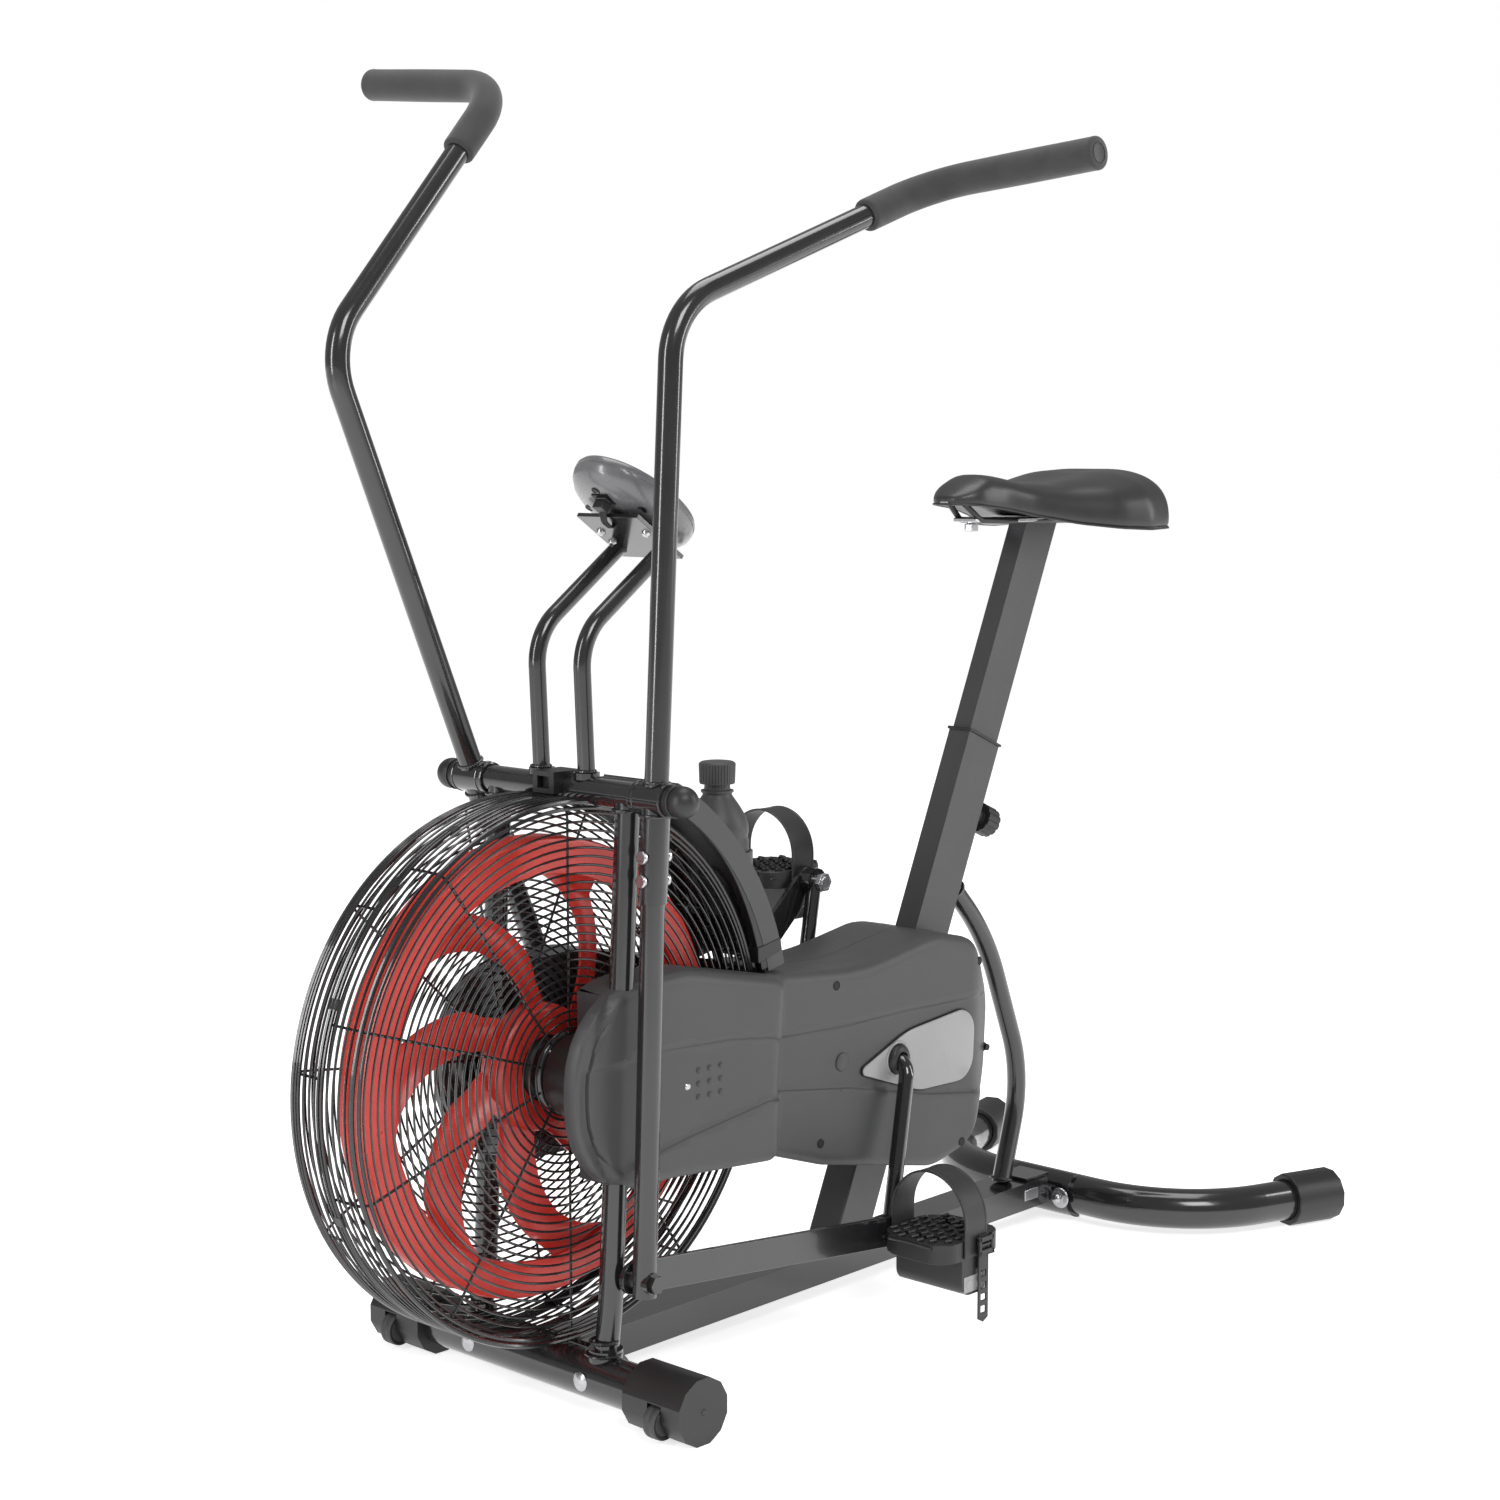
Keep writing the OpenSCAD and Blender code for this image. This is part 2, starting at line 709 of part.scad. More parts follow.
// ---------- console ----------
mast_path = [[36, 566], [30, 694], [138, 772]];
module console_masts() {
    placed() color("black") difference() {
        for (side = [LEFT, RIGHT]) {
            pipe([for (p = mast_path) [p[0], side * mast_y, p[1]]], [55], mast_d);
            translate([36, side * mast_y, pivot_h + 10]) cylinder(r = 12, h = 6);
        }
        y_disc(pivot_x, pivot_h, crossbar_d / 2, -60, 60);
    }
}
console_at = [127, 814];
console_tilt = 34;
module at_console() {
    translate([console_at[0], 0, console_at[1]]) rotate([0, console_tilt, 0]) children();
}
function ellipse(a, b) = [for (k = [0:39]) [a * cos(9 * k), b * sin(9 * k)]];
module console_case() {
    placed() color("darkgray") at_console() difference() {
        union() {
            translate([0, 0, -12]) linear_extrude(20) polygon(ellipse(68, 53));
            translate([0, 0, -20]) linear_extrude(8) polygon(ellipse(58, 44));
        }
        translate([-34, -26, 4]) cube([44, 52, 10]);
        translate([36, 0, -14]) cylinder(r = 8.3, h = 40);
    }
}
module console_screen() {
    placed() color("lightgray") at_console() translate([-34, -26, 4]) cube([44, 52, 3]);
}
module console_button() {
    placed() color("black") at_console() translate([36, 0, -9]) cylinder(r = 8, h = 19);
}
module console_bracket() {
    placed() color("black") difference() {
        union() {
            at_console() translate([-22, -40, -32]) cube([70, 80, 4]);
            at_console() translate([-10, -14, -28.5]) cube([40, 28, 8.5]);
        }
        for (side = [LEFT, RIGHT])
            pipe([for (p = mast_path) [p[0], side * mast_y, p[1]]], [55], mast_d);
    }
}
module lead_clip() {
    placed() color("dimgray") difference() {
        translate([12, -12, 552.5]) cube([34.4, 28, 20]);
        y_disc(pivot_x, pivot_h, crossbar_d / 2, -20, 40);
        translate([11, -6, 557]) cube([8, 16, 11]);
    }
}

// ---------- wheels ----------
module wheel(side) {
    placed() color("black") difference() {
        y_disc(wheel_x, wheel_z, wheel_r, side * wheel_y - wheel_w / 2, side * wheel_y + wheel_w / 2);
        y_disc(wheel_x, wheel_z, wheel_pin_r + run_gap, side * wheel_y - wheel_w, side * wheel_y + wheel_w);
    }
}
module left_wheel() {
    wheel(LEFT);
}
module right_wheel() {
    wheel(RIGHT);
}

// ---------- crank, rods and pedals ----------
module crank() {
    bend_y = 77;
    eye_bar_y = crank_eye_to - crank_d / 2 - 0.2;
    placed() color("black") difference() {
        union() {
            pipe([xz(crank_pin(LEFT), -eye_bar_y), [crank_x, -bend_y, crank_h],
                  [crank_x, bend_y, crank_h], xz(crank_pin(RIGHT), eye_bar_y)], [20, 20], crank_d);
            for (side = [LEFT, RIGHT])
                y_disc(crank_pin(side)[0], crank_pin(side)[1], eye_r, side * crank_eye_from, side * crank_eye_to);
        }
        for (side = [LEFT, RIGHT])
            y_disc(crank_pin(side)[0], crank_pin(side)[1], spindle_r, side * 70, side * 120);
    }
}
module crank_pulley() {
    placed() color("gray") difference() {
        union() {
            y_disc(crank_x, crank_h, crank_pulley_r, belt_y - belt_w / 2, belt_y + belt_w / 2);
            y_disc(crank_x, crank_h, 24, belt_y - 12, belt_y);
            y_disc(crank_x, crank_h, crank_pulley_r + 3, belt_y - belt_w / 2 - 1.2, belt_y - belt_w / 2 - 0.1);
        }
        y_disc(crank_x, crank_h, crank_d / 2, 0, 100);
        for (k = [0:4]) translate([crank_x, 0, crank_h]) rotate([0, 72 * k, 0]) translate([-crank_x, 0, -crank_h])
            y_disc(crank_x + 57, crank_h, 21, 0, 100);
    }
}
module pedal_spindles() {
    placed() color("silver") for (side = [LEFT, RIGHT]) {
        p = crank_pin(side);
        y_disc(p[0], p[1], spindle_r, side * (crank_eye_from - 13), side * (pedal_to - 10));
        translate([p[0], side * (crank_eye_from - 8.6), p[1]]) rotate([90, 0, 0]) difference() {
            cylinder(r = 10.5, h = 6, center = true, $fn = 6);
            cylinder(r = spindle_r, h = 20, center = true);
        }
    }
}

// Flat bar between its two eyes, on the inner side of the handle tube
module rod(side) {
    pin = crank_pin(side);
    foot = arm_foot(side);
    in_y = rod_y - rod_t / 2;
    out_y = rod_y + rod_t / 2;
    placed() color("black") translate([pin[0], 0, pin[1]])
        rotate([0, -atan2(foot[1] - pin[1], foot[0] - pin[0]), 0]) {
            difference() {
                union() {
                    y_slab(side * in_y, side * out_y)
                        polygon([[0, -rod_h / 2], [rod_len, -rod_h / 2], [rod_len, rod_h / 2], [0, rod_h / 2]]);
                    y_disc(0, 0, rod_h / 2, side * in_y, side * out_y);
                    y_disc(rod_len, 0, rod_h / 2, side * in_y, side * out_y);
                }
                y_disc(0, 0, spindle_r + run_gap, side * 90, side * 120);
            }
            translate([rod_len, side * (in_y - 1.4), 0]) rotate([90, 0, 0])
                cylinder(r = 8, h = 3, center = true, $fn = 6);
        }
}
module left_rod() {
    rod(LEFT);
}
module right_rod() {
    rod(RIGHT);
}

// Drawing of a pedal or strap, put at its spindle
module at_spindle(side) {
    translate([crank_pin(side)[0], 0, crank_pin(side)[1]]) mirror([0, side < 0 ? 1 : 0, 0]) children();
}
module pedal(side) {
    length = pedal_to - pedal_from;
    placed() color("black") at_spindle(side) difference() {
        union() {
            translate([0, 0, -8]) linear_extrude(19) polygon(rounded([
                [-pedal_half, pedal_from, 34], [-pedal_half, pedal_to, 22], [pedal_half, pedal_to, 22],
                [pedal_half, pedal_from, 34]]));
            y_slab(pedal_from + 6, pedal_to) polygon(rounded([
                [-19, -8, 0], [-19, -44, 12], [19, -44, 12], [19, -8, 0]]));
        }
        y_disc(0, 0, spindle_r + run_gap, 0, pedal_to - 9.5);
        for (x = [-34, 20]) translate([x, pedal_from + 22, -20]) cube([14, length - 44, 40]);
    }
}
module left_pedal() {
    pedal(LEFT);
}
module right_pedal() {
    pedal(RIGHT);
}

module strap(side) {
    mid = (strap_from + pedal_to + strap_t + 0.3) / 2;
    r = mid - strap_from;
    leg_top = 26;
    placed() color("black") at_spindle(side) {
        translate([-strap_w / 2, mid, leg_top]) rotate([0, 90, 0]) rotate([0, 0, 90])
            rotate_extrude(angle = 180) translate([r - strap_t, 0]) square([strap_t, strap_w]);
        difference() {
            translate([-strap_w / 2, strap_from, -6]) cube([strap_w, strap_t, leg_top + 6]);
            y_disc(0, 0, spindle_r + 1, strap_from - 5, strap_from + 5);
        }
        translate([-strap_w / 2, 2 * mid - strap_from - strap_t, -6]) cube([strap_w, strap_t, leg_top + 6]);
        difference() {
            translate([2, 2 * mid - strap_from, -tail_drop]) cube([15, strap_t, tail_drop + 16]);
            for (z = [-68:12:-20]) translate([6, 2 * mid - strap_from - 1, z]) cube([7, 5, 6]);
        }
        translate([-1, 2 * mid - strap_from + strap_t, -4]) cube([21, 5, 16]);
    }
}
module left_strap() {
    strap(LEFT);
}
module right_strap() {
    strap(RIGHT);
}

// ---------- handles ----------
function handle_path(side) = [
    [0, side * arm_y, sleeve_d / 2 - 4], [arm_bend[0], side * arm_y, arm_bend[1]],
    [grip_bend[0], side * grip_bend_y, grip_bend[1]], [grip_end[0], side * grip_end_y, grip_end[1]]
];
handle_radii = [70, 55];
module arm(side) {
    y = side * arm_y;
    placed() color("black") at_pivot(side) difference() {
        union() {
            pipe(handle_path(side), handle_radii, arm_d);
            y_disc(0, 0, sleeve_d / 2, side * sleeve_from, side * sleeve_to);
            bar([0, y, -sleeve_stub], [0, y, -4], arm_d + 4);
        }
        y_disc(0, 0, pin_d / 2 + run_gap, side * 90, side * 160);
        bar([0, y, -sleeve_stub - over], [0, y, -24], arm_d);
        for (z = arm_bolt_z) bar([-20, y, z], [20, y, z], arm_bolt_d);
    }
}
module left_arm() {
    arm(LEFT);
}
module right_arm() {
    arm(RIGHT);
}

module lower_arm(side) {
    y = side * arm_y;
    bush_from = rod_y + rod_t / 2 + 0.5;
    placed() color("black") at_pivot(side) {
        difference() {
            pipe([[0, y, -24], [0, y, -sleeve_stub], [foot_local[0] + 0.2, y, foot_local[1] - 14]], [200], arm_d);
            for (z = arm_bolt_z) bar([-20, y, z], [20, y, z], arm_bolt_d);
        }
        y_disc(foot_local[0], foot_local[1], 10, side * bush_from, side * (arm_y + 12.5));
        translate([foot_local[0], side * (arm_y + 14.5), foot_local[1]]) rotate([90, 0, 0])
            cylinder(r = 8.5, h = 6, center = true, $fn = 6);
    }
}
module left_lower_arm() {
    lower_arm(LEFT);
}
module right_lower_arm() {
    lower_arm(RIGHT);
}

module arm_bolts(side) {
    y = side * arm_y;
    edge = arm_d / 2 + 2;
    placed() color("silver") at_pivot(side) for (z = arm_bolt_z) {
        bar([-edge - 2, y, z], [edge + 2, y, z], arm_bolt_d);
        bar([-edge - 4, y, z], [-edge, y, z], 12);
        bar([edge, y, z], [edge + 4, y, z], 12);
    }
}
module left_arm_bolts() {
    arm_bolts(LEFT);
}
module right_arm_bolts() {
    arm_bolts(RIGHT);
}

module grip(side) {
    p = handle_path(side);
    back = 90;
    start = p[2] + unit(p[1] - p[2]) * back;
    finish = p[3] + unit(p[3] - p[2]) * 6;
    placed() color("dimgray") at_pivot(side) difference() {
        pipe([start, p[2], finish], [handle_radii[1]], grip_d);
        pipe([start + unit(p[1] - p[2]) * over, p[2], p[3]], [handle_radii[1]], arm_d);
    }
}
module left_grip() {
    grip(LEFT);
}
module right_grip() {
    grip(RIGHT);
}

// ---------- seat ----------
post_w = tube_w - 2 * tube_wall - 0.6;
post_t = tube_t - 2 * tube_wall - 0.6;
post_in = 160;
knob_h = 483;
function knob_at() = [seat_axis_x(knob_h) + tube_t / 2 * cos(seat_tilt), knob_h - tube_t / 2 * sin(seat_tilt)];
module seat_post() {
    top = (seat_post_h - seat_tube_h) / cos(seat_tilt);
    placed() color("gray") on_seat_axis(seat_tube_h) difference() {
        translate([-post_t / 2, -post_w / 2, -post_in]) cube([post_t, post_w, top + post_in + 12]);
        translate([2 - post_t / 2, 2 - post_w / 2, -post_in - over])
            cube([post_t - 4, post_w - 4, top + post_in - 14]);
        rotate([0, -seat_tilt, 0]) translate([0, -50, seat_post_h - seat_tube_h]) cube([300, 100, 60]);
        for (k = [-4:4]) translate([0, 0, -76 + 25 * k]) rotate([0, 90, 0]) cylinder(r = 5, h = post_t);
    }
}
module seat_clamp() {
    placed() color("silver") {
        translate([seat_axis_x(seat_post_h) - 55, -22, seat_post_h]) cube([120, 44, 4]);
        translate([seat_axis_x(seat_post_h) - 95, -7, seat_post_h]) cube([40, 14, 4]);
    }
}
module seat_cushion() {
    placed() color("black") difference() {
        hull($fn = 24) {
            translate([606, 0, 812]) scale([1, 1.05, 0.62]) sphere(r = 30, $fn = 24);
            for (side = [LEFT, RIGHT]) {
                translate([800, side * 46, 807]) scale([1, 1, 0.5]) sphere(r = 66, $fn = 28);
                translate([700, side * 20, 812]) scale([1, 1, 0.5]) sphere(r = 50, $fn = 24);
            }
        }
        translate([seat_axis_x(seat_post_h) - 100, -26, seat_post_h - 60]) cube([170, 52, 64.05]);
    }
}
module post_knob() {
    placed() color("black") translate([knob_at()[0], 0, knob_at()[1]]) rotate([0, 90 + seat_tilt, 0]) {
        translate([0, 0, -tube_wall - 0.05]) cylinder(r = 4.5, h = 20);
        translate([0, 0, 0.3]) cylinder(r = 9, h = 16);
        translate([0, 0, 14]) difference() {
            cylinder(r = 16.5, h = 20);
            for (k = [0:11]) rotate(30 * k) translate([17.5, 0, -over]) cylinder(r = 2, h = 22, $fn = 16);
        }
    }
}

front_stabiliser();
rear_stabiliser();
front_left_cap();
front_right_cap();
rear_caps();
stabiliser_bolts();
base_beam();
rear_bracket();
left_fork();
right_fork();
crossbar();
pivot_caps();
upright();
seat_tube();
rear_brace();
crank_shell();
bearings();
left_cage();
right_cage();
fan_axle();
left_housing();
right_housing();
crank_badges();
housing_screws();
drive_belt();
wind_guard();
console_masts();
console_bracket();
console_case();
console_screen();
lead_clip();
post_bush();
bottle();
bottle_cap();
console_button();
left_wheel();
right_wheel();
fan_wheel();
fan_hub();
crank();
crank_pulley();
pedal_spindles();
left_rod();
right_rod();
left_pedal();
right_pedal();
left_strap();
right_strap();
left_arm();
right_arm();
left_lower_arm();
right_lower_arm();
left_arm_bolts();
right_arm_bolts();
left_grip();
right_grip();
seat_post();
seat_clamp();
seat_cushion();
post_knob();
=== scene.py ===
import json
import math
import bpy
import bmesh
import numpy as np
from mathutils import Matrix, Vector, geometry

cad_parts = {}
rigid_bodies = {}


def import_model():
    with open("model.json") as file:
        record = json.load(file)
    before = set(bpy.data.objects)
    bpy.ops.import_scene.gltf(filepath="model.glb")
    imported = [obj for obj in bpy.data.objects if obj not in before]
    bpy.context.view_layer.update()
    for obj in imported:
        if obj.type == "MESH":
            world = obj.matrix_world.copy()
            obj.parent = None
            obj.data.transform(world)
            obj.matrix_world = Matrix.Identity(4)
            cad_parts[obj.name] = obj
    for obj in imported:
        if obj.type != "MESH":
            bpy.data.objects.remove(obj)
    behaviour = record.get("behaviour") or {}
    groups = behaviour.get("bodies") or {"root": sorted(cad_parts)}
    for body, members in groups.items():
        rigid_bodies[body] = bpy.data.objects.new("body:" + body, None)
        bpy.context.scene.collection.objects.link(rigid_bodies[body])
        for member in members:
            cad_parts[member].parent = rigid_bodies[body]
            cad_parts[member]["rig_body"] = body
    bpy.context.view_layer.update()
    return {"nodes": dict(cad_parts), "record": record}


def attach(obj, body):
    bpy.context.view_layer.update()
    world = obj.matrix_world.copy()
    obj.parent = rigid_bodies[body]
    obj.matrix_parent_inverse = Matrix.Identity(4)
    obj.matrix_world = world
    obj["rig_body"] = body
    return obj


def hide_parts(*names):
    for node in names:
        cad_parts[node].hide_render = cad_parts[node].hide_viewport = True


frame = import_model()
nodes = frame["nodes"]

FX = -369.0          # X of the fan axle, in mm; all lengths below are mm from there
FAN_H = 303          # height of the fan axle
FAN = (0, 0, FAN_H)
CAGE_FACE = 44.8     # half width of the wire cage at its face
CAGE_RIM = 247.6     # radius of the wires round its rim
ARM_Y = 121          # handles' distance from the middle plane
PIVOT_H = 556        # height of the handle pivots
MM = 0.001
rad = math.radians
LEFT, RIGHT = -1, 1


# ---------- materials ----------
def material(slot, base, rough, metal=0.0, coat=0.0, coat_rough=0.08, spec=0.5, tint=0.12, tint_scale=14,
             rough_var=0.06, bump=0.12, bump_scale=700, depth=0.0002, grain="noise", stretch=(1, 1, 1),
             sheen=0.0):
    m = bpy.data.materials.new(slot)
    m.use_nodes = True
    nt = m.node_tree
    b = nt.nodes["Principled BSDF"]
    b.inputs["Metallic"].default_value = metal
    b.inputs["Coat Weight"].default_value = coat
    b.inputs["Coat Roughness"].default_value = coat_rough
    b.inputs["Specular IOR Level"].default_value = spec
    b.inputs["Sheen Weight"].default_value = sheen

    def node(kind, **sockets):
        n = nt.nodes.new(kind)
        for k, v in sockets.items():
            n.inputs[k].default_value = v
        return n

    tc = nt.nodes.new("ShaderNodeTexCoord")
    mp = node("ShaderNodeMapping", Scale=stretch)
    nt.links.new(tc.outputs["Object"], mp.inputs["Vector"])
    blotch = node("ShaderNodeTexNoise", Scale=tint_scale, Detail=5.0, Roughness=0.6)
    nt.links.new(tc.outputs["Object"], blotch.inputs["Vector"])
    ramp = nt.nodes.new("ShaderNodeValToRGB")
    ramp.color_ramp.elements[0].position, ramp.color_ramp.elements[1].position = 0.3, 0.72
    ramp.color_ramp.elements[0].color = (*[c * (1 - tint) for c in base], 1)
    ramp.color_ramp.elements[1].color = (*[min(1, c * (1 + tint)) for c in base], 1)
    nt.links.new(blotch.outputs["Fac"], ramp.inputs["Fac"])
    nt.links.new(ramp.outputs["Color"], b.inputs["Base Color"])
    smear = node("ShaderNodeTexNoise", Scale=55.0, Detail=6.0, Roughness=0.65)
    nt.links.new(mp.outputs["Vector"], smear.inputs["Vector"])
    span = nt.nodes.new("ShaderNodeMapRange")
    span.inputs["To Min"].default_value = max(0.02, rough - rough_var)
    span.inputs["To Max"].default_value = min(1.0, rough + rough_var)
    nt.links.new(smear.outputs["Fac"], span.inputs["Value"])
    nt.links.new(span.outputs["Result"], b.inputs["Roughness"])
    if grain == "cells":
        fine = node("ShaderNodeTexVoronoi", Scale=bump_scale)
        out = fine.outputs["Distance"]
    elif grain == "ribs":
        fine = nt.nodes.new("ShaderNodeTexWave")
        fine.inputs["Scale"].default_value = bump_scale
        out = fine.outputs["Fac"]
    else:
        fine = node("ShaderNodeTexNoise", Scale=bump_scale, Detail=3.0, Roughness=0.55)
        out = fine.outputs["Fac"]
    nt.links.new(mp.outputs["Vector"], fine.inputs["Vector"])
    bp = node("ShaderNodeBump", Strength=bump, Distance=depth)
    nt.links.new(out, bp.inputs["Height"])
    nt.links.new(bp.outputs["Normal"], b.inputs["Normal"])
    return m


MATS = {
    "gloss_black": material("gloss_black", (0.012, 0.012, 0.013), 0.2, coat=0.55, bump=0.05, bump_scale=160,
                            depth=0.0006, tint=0.25),
    "grey_tube": material("grey_tube", (0.038, 0.038, 0.040), 0.42, coat=0.12, coat_rough=0.3, bump=0.06,
                          bump_scale=900),
    "black_crank": material("black_crank", (0.008, 0.008, 0.009), 0.15, coat=0.8, bump=0.04, bump_scale=150,
                            depth=0.0006, tint=0.25),
    "cage_wire": material("cage_wire", (0.009, 0.009, 0.01), 0.27, coat=0.35, bump=0.08, bump_scale=420,
                          tint=0.3),
    "red_plastic": material("red_plastic", (0.68, 0.042, 0.030), 0.3, coat=0.12, coat_rough=0.2, tint=0.1,
                            tint_scale=9, bump=0.07, bump_scale=500, rough_var=0.08),
    "grey_plastic": material("grey_plastic", (0.050, 0.050, 0.052), 0.46, tint=0.07, tint_scale=6, bump=0.16,
                             bump_scale=1500, depth=0.00012, grain="cells", spec=0.42),
    "black_plastic": material("black_plastic", (0.011, 0.011, 0.0115), 0.43, tint=0.2, bump=0.25,
                              bump_scale=1100, depth=0.00015, grain="cells"),
    "strap_rubber": material("strap_rubber", (0.018, 0.018, 0.0185), 0.5, tint=0.2, bump=0.3, bump_scale=900,
                             depth=0.0002, grain="cells"),
    "belt_rubber": material("belt_rubber", (0.02, 0.02, 0.02), 0.62, tint=0.2, bump=0.5, bump_scale=190,
                            depth=0.0004, grain="ribs"),
    "wheel_rubber": material("wheel_rubber", (0.035, 0.035, 0.036), 0.55, tint=0.2, bump=0.3, bump_scale=800),
    "silver_badge": material("silver_badge", (0.26, 0.26, 0.265), 0.36, coat=0.25, tint=0.05,
                             bump=0.05, bump_scale=900),
    "zinc": material("zinc", (0.46, 0.46, 0.475), 0.28, metal=1.0, tint=0.1, tint_scale=90, rough_var=0.1,
                     bump=0.15, bump_scale=380, stretch=(1, 1, 4)),
    "dark_screw": material("dark_screw", (0.012, 0.012, 0.012), 0.4, metal=0.6, tint=0.2, bump=0.2,
                           bump_scale=900),
    "foam": material("foam", (0.036, 0.036, 0.037), 0.82, tint=0.16, tint_scale=40, bump=0.55,
                     bump_scale=1300, depth=0.0004, grain="cells", spec=0.25, sheen=0.25),
    "vinyl": material("vinyl", (0.022, 0.022, 0.023), 0.36, tint=0.12, tint_scale=12, bump=0.22,
                      bump_scale=620, depth=0.00022, grain="cells", spec=0.5, rough_var=0.07),
    "console_grey": material("console_grey", (0.115, 0.115, 0.12), 0.27, coat=0.4, tint=0.08, bump=0.05,
                             bump_scale=900),
    "lcd": material("lcd", (0.30, 0.34, 0.28), 0.12, coat=0.9, coat_rough=0.02, tint=0.04, bump=0.03),
    "pulley_grey": material("pulley_grey", (0.11, 0.11, 0.115), 0.5, tint=0.12, bump=0.2),
}


# ---------- mesh building ----------
class Acc:
    """Vertices in mm from the fan axle, and faces, of one piece."""

    def __init__(self):
        self.v, self.f = [], []

    def add(self, verts, faces):
        n = len(self.v)
        self.v += [tuple(p) for p in verts]
        self.f += [tuple(i + n for i in q) for q in faces]
        return self


def shade(me, angle=38):
    me.shade_smooth()
    me.set_sharp_from_angle(angle=rad(angle))


def bake(o, angle=38, weighted=True):
    """Applies the object's modifiers."""
    if weighted:
        o.modifiers.new("n", "WEIGHTED_NORMAL").keep_sharp = True
    dg = bpy.context.evaluated_depsgraph_get()
    me = bpy.data.meshes.new_from_object(o.evaluated_get(dg))
    o.modifiers.clear()
    o.data = me
    return o


def make(acc, name, slot, body, bevel=0.0, seg=2, sub=0, angle=38, fix=True, at=None):
    me = bpy.data.meshes.new(name)
    pts = [at @ Vector(p) for p in acc.v] if at else acc.v
    me.from_pydata([((p[0] + FX) * MM, p[1] * MM, p[2] * MM) for p in pts], [], acc.f)
    bm = bmesh.new()
    bm.from_mesh(me)
    bmesh.ops.remove_doubles(bm, verts=bm.verts, dist=1e-6)
    if fix:
        bmesh.ops.recalc_face_normals(bm, faces=bm.faces)
    bm.to_mesh(me)
    bm.free()
    me.materials.append(MATS[slot])
    o = bpy.data.objects.new(name, me)
    bpy.context.scene.collection.objects.link(o)
    shade(me, angle)
    if sub:
        s = o.modifiers.new("s", "SUBSURF")
        s.levels = s.render_levels = sub
    if bevel:
        b = o.modifiers.new("b", "BEVEL")
        b.width, b.segments, b.limit_method, b.angle_limit = bevel * MM, seg, "ANGLE", rad(angle)
        b.use_clamp_overlap = True
    if sub or bevel:
        bake(o, angle, weighted=bool(bevel))
    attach(o, body)
    return o


def soften(node, slot, width, seg=2, angle=35, flat=0.4):
    """The CAD node's own shape with its edges rounded over."""
    me = nodes[node].data.copy()
    me.name = node + "_soft"
    bm = bmesh.new()
    bm.from_mesh(me)
    bmesh.ops.remove_doubles(bm, verts=bm.verts, dist=2e-6)
    bmesh.ops.dissolve_limit(bm, angle_limit=rad(flat), verts=bm.verts, edges=bm.edges)
    bm.to_mesh(me)
    bm.free()
    me.materials.clear()
    me.materials.append(MATS[slot])
    o = bpy.data.objects.new(node + "_finished", me)
    bpy.context.scene.collection.objects.link(o)
    shade(me, angle)
    b = o.modifiers.new("b", "BEVEL")
    b.width, b.segments, b.limit_method, b.angle_limit = width * MM, seg, "ANGLE", rad(angle)
    bake(o, angle)
    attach(o, nodes[node]["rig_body"])
    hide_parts(node)
    return o


def frames(pts, closed):
    """Two directions across the path at each of its points."""
    n = len(pts)
    after = [pts[(i + 1) % n] if closed or i < n - 1 else pts[i] for i in range(n)]
    before = [pts[i - 1] if closed or i else pts[i] for i in range(n)]
    tang = [(b - a).normalized() for a, b in zip(before, after)]
    side = tang[0].orthogonal().normalized()
    out = []
    for t in tang:
        side = (side - t * side.dot(t)).normalized()
        out.append((side, t.cross(side)))
    return out


def sweep(acc, pts, r, seg=16, closed=False, section=None, up=None):
    """Tube, or a given flat section, along points."""
    pts = [Vector(p) for p in pts]
    n = len(pts)
    rr = r if hasattr(r, "__len__") else [r] * n
    fr = frames(pts, closed)
    verts = []
    for i, (p, (a, b)) in enumerate(zip(pts, fr)):
        if up is not None:
            a = Vector(up)
            b = ((pts[min(i + 1, n - 1)] - pts[max(i - 1, 0)]).normalized()).cross(a).normalized()
        if section:
            verts += [p + a * u + b * w for u, w in section]
        else:
            verts += [p + (a * math.cos(2 * math.pi * k / seg) + b * math.sin(2 * math.pi * k / seg)) * rr[i]
                      for k in range(seg)]
    m = len(section) if section else seg
    faces = [(i * m + k, i * m + (k + 1) % m, ((i + 1) % n) * m + (k + 1) % m, ((i + 1) % n) * m + k)
             for i in range(n if closed else n - 1) for k in range(m)]
    if not closed:
        faces += [tuple(range(m))[::-1], tuple((n - 1) * m + k for k in range(m))]
    return acc.add(verts, faces)


def lathe(acc, prof, o, w, seg=48, closed=False):
    """Profile of (radius, height) turned about the axis w from o."""
    w = Vector(w).normalized()
    u = w.orthogonal().normalized()
    q = w.cross(u)
    o = Vector(o)
    m = len(prof)
    turn = [u * math.cos(2 * math.pi * k / seg) + q * math.sin(2 * math.pi * k / seg) for k in range(seg)]
    verts = [o + w * h + d * max(r, 0.001) for d in turn for r, h in prof]
    faces = [(k * m + i, k * m + (i + 1) % m, ((k + 1) % seg) * m + (i + 1) % m, ((k + 1) % seg) * m + i)
             for k in range(seg) for i in range(m if closed else m - 1)]
    return acc.add(verts, faces)


def ring(acc, c, big, small, w=(0, 1, 0), seg=96, sec=8):
    turn = [2 * math.pi * k / sec for k in range(sec)]
    prof = [(big + small * math.cos(g), small * math.sin(g)) for g in turn]
    return lathe(acc, prof, c, w, seg, closed=True)


def prism(acc, outline, y0, y1):
    """Outline of (x, z) between two Y planes."""
    n = len(outline)
    verts = [(x, y0, z) for x, z in outline] + [(x, y1, z) for x, z in outline]
    faces = [tuple(range(n)), tuple(range(2 * n - 1, n - 1, -1))]
    faces += [(i, (i + 1) % n, n + (i + 1) % n, n + i) for i in range(n)]
    return acc.add(verts, faces)


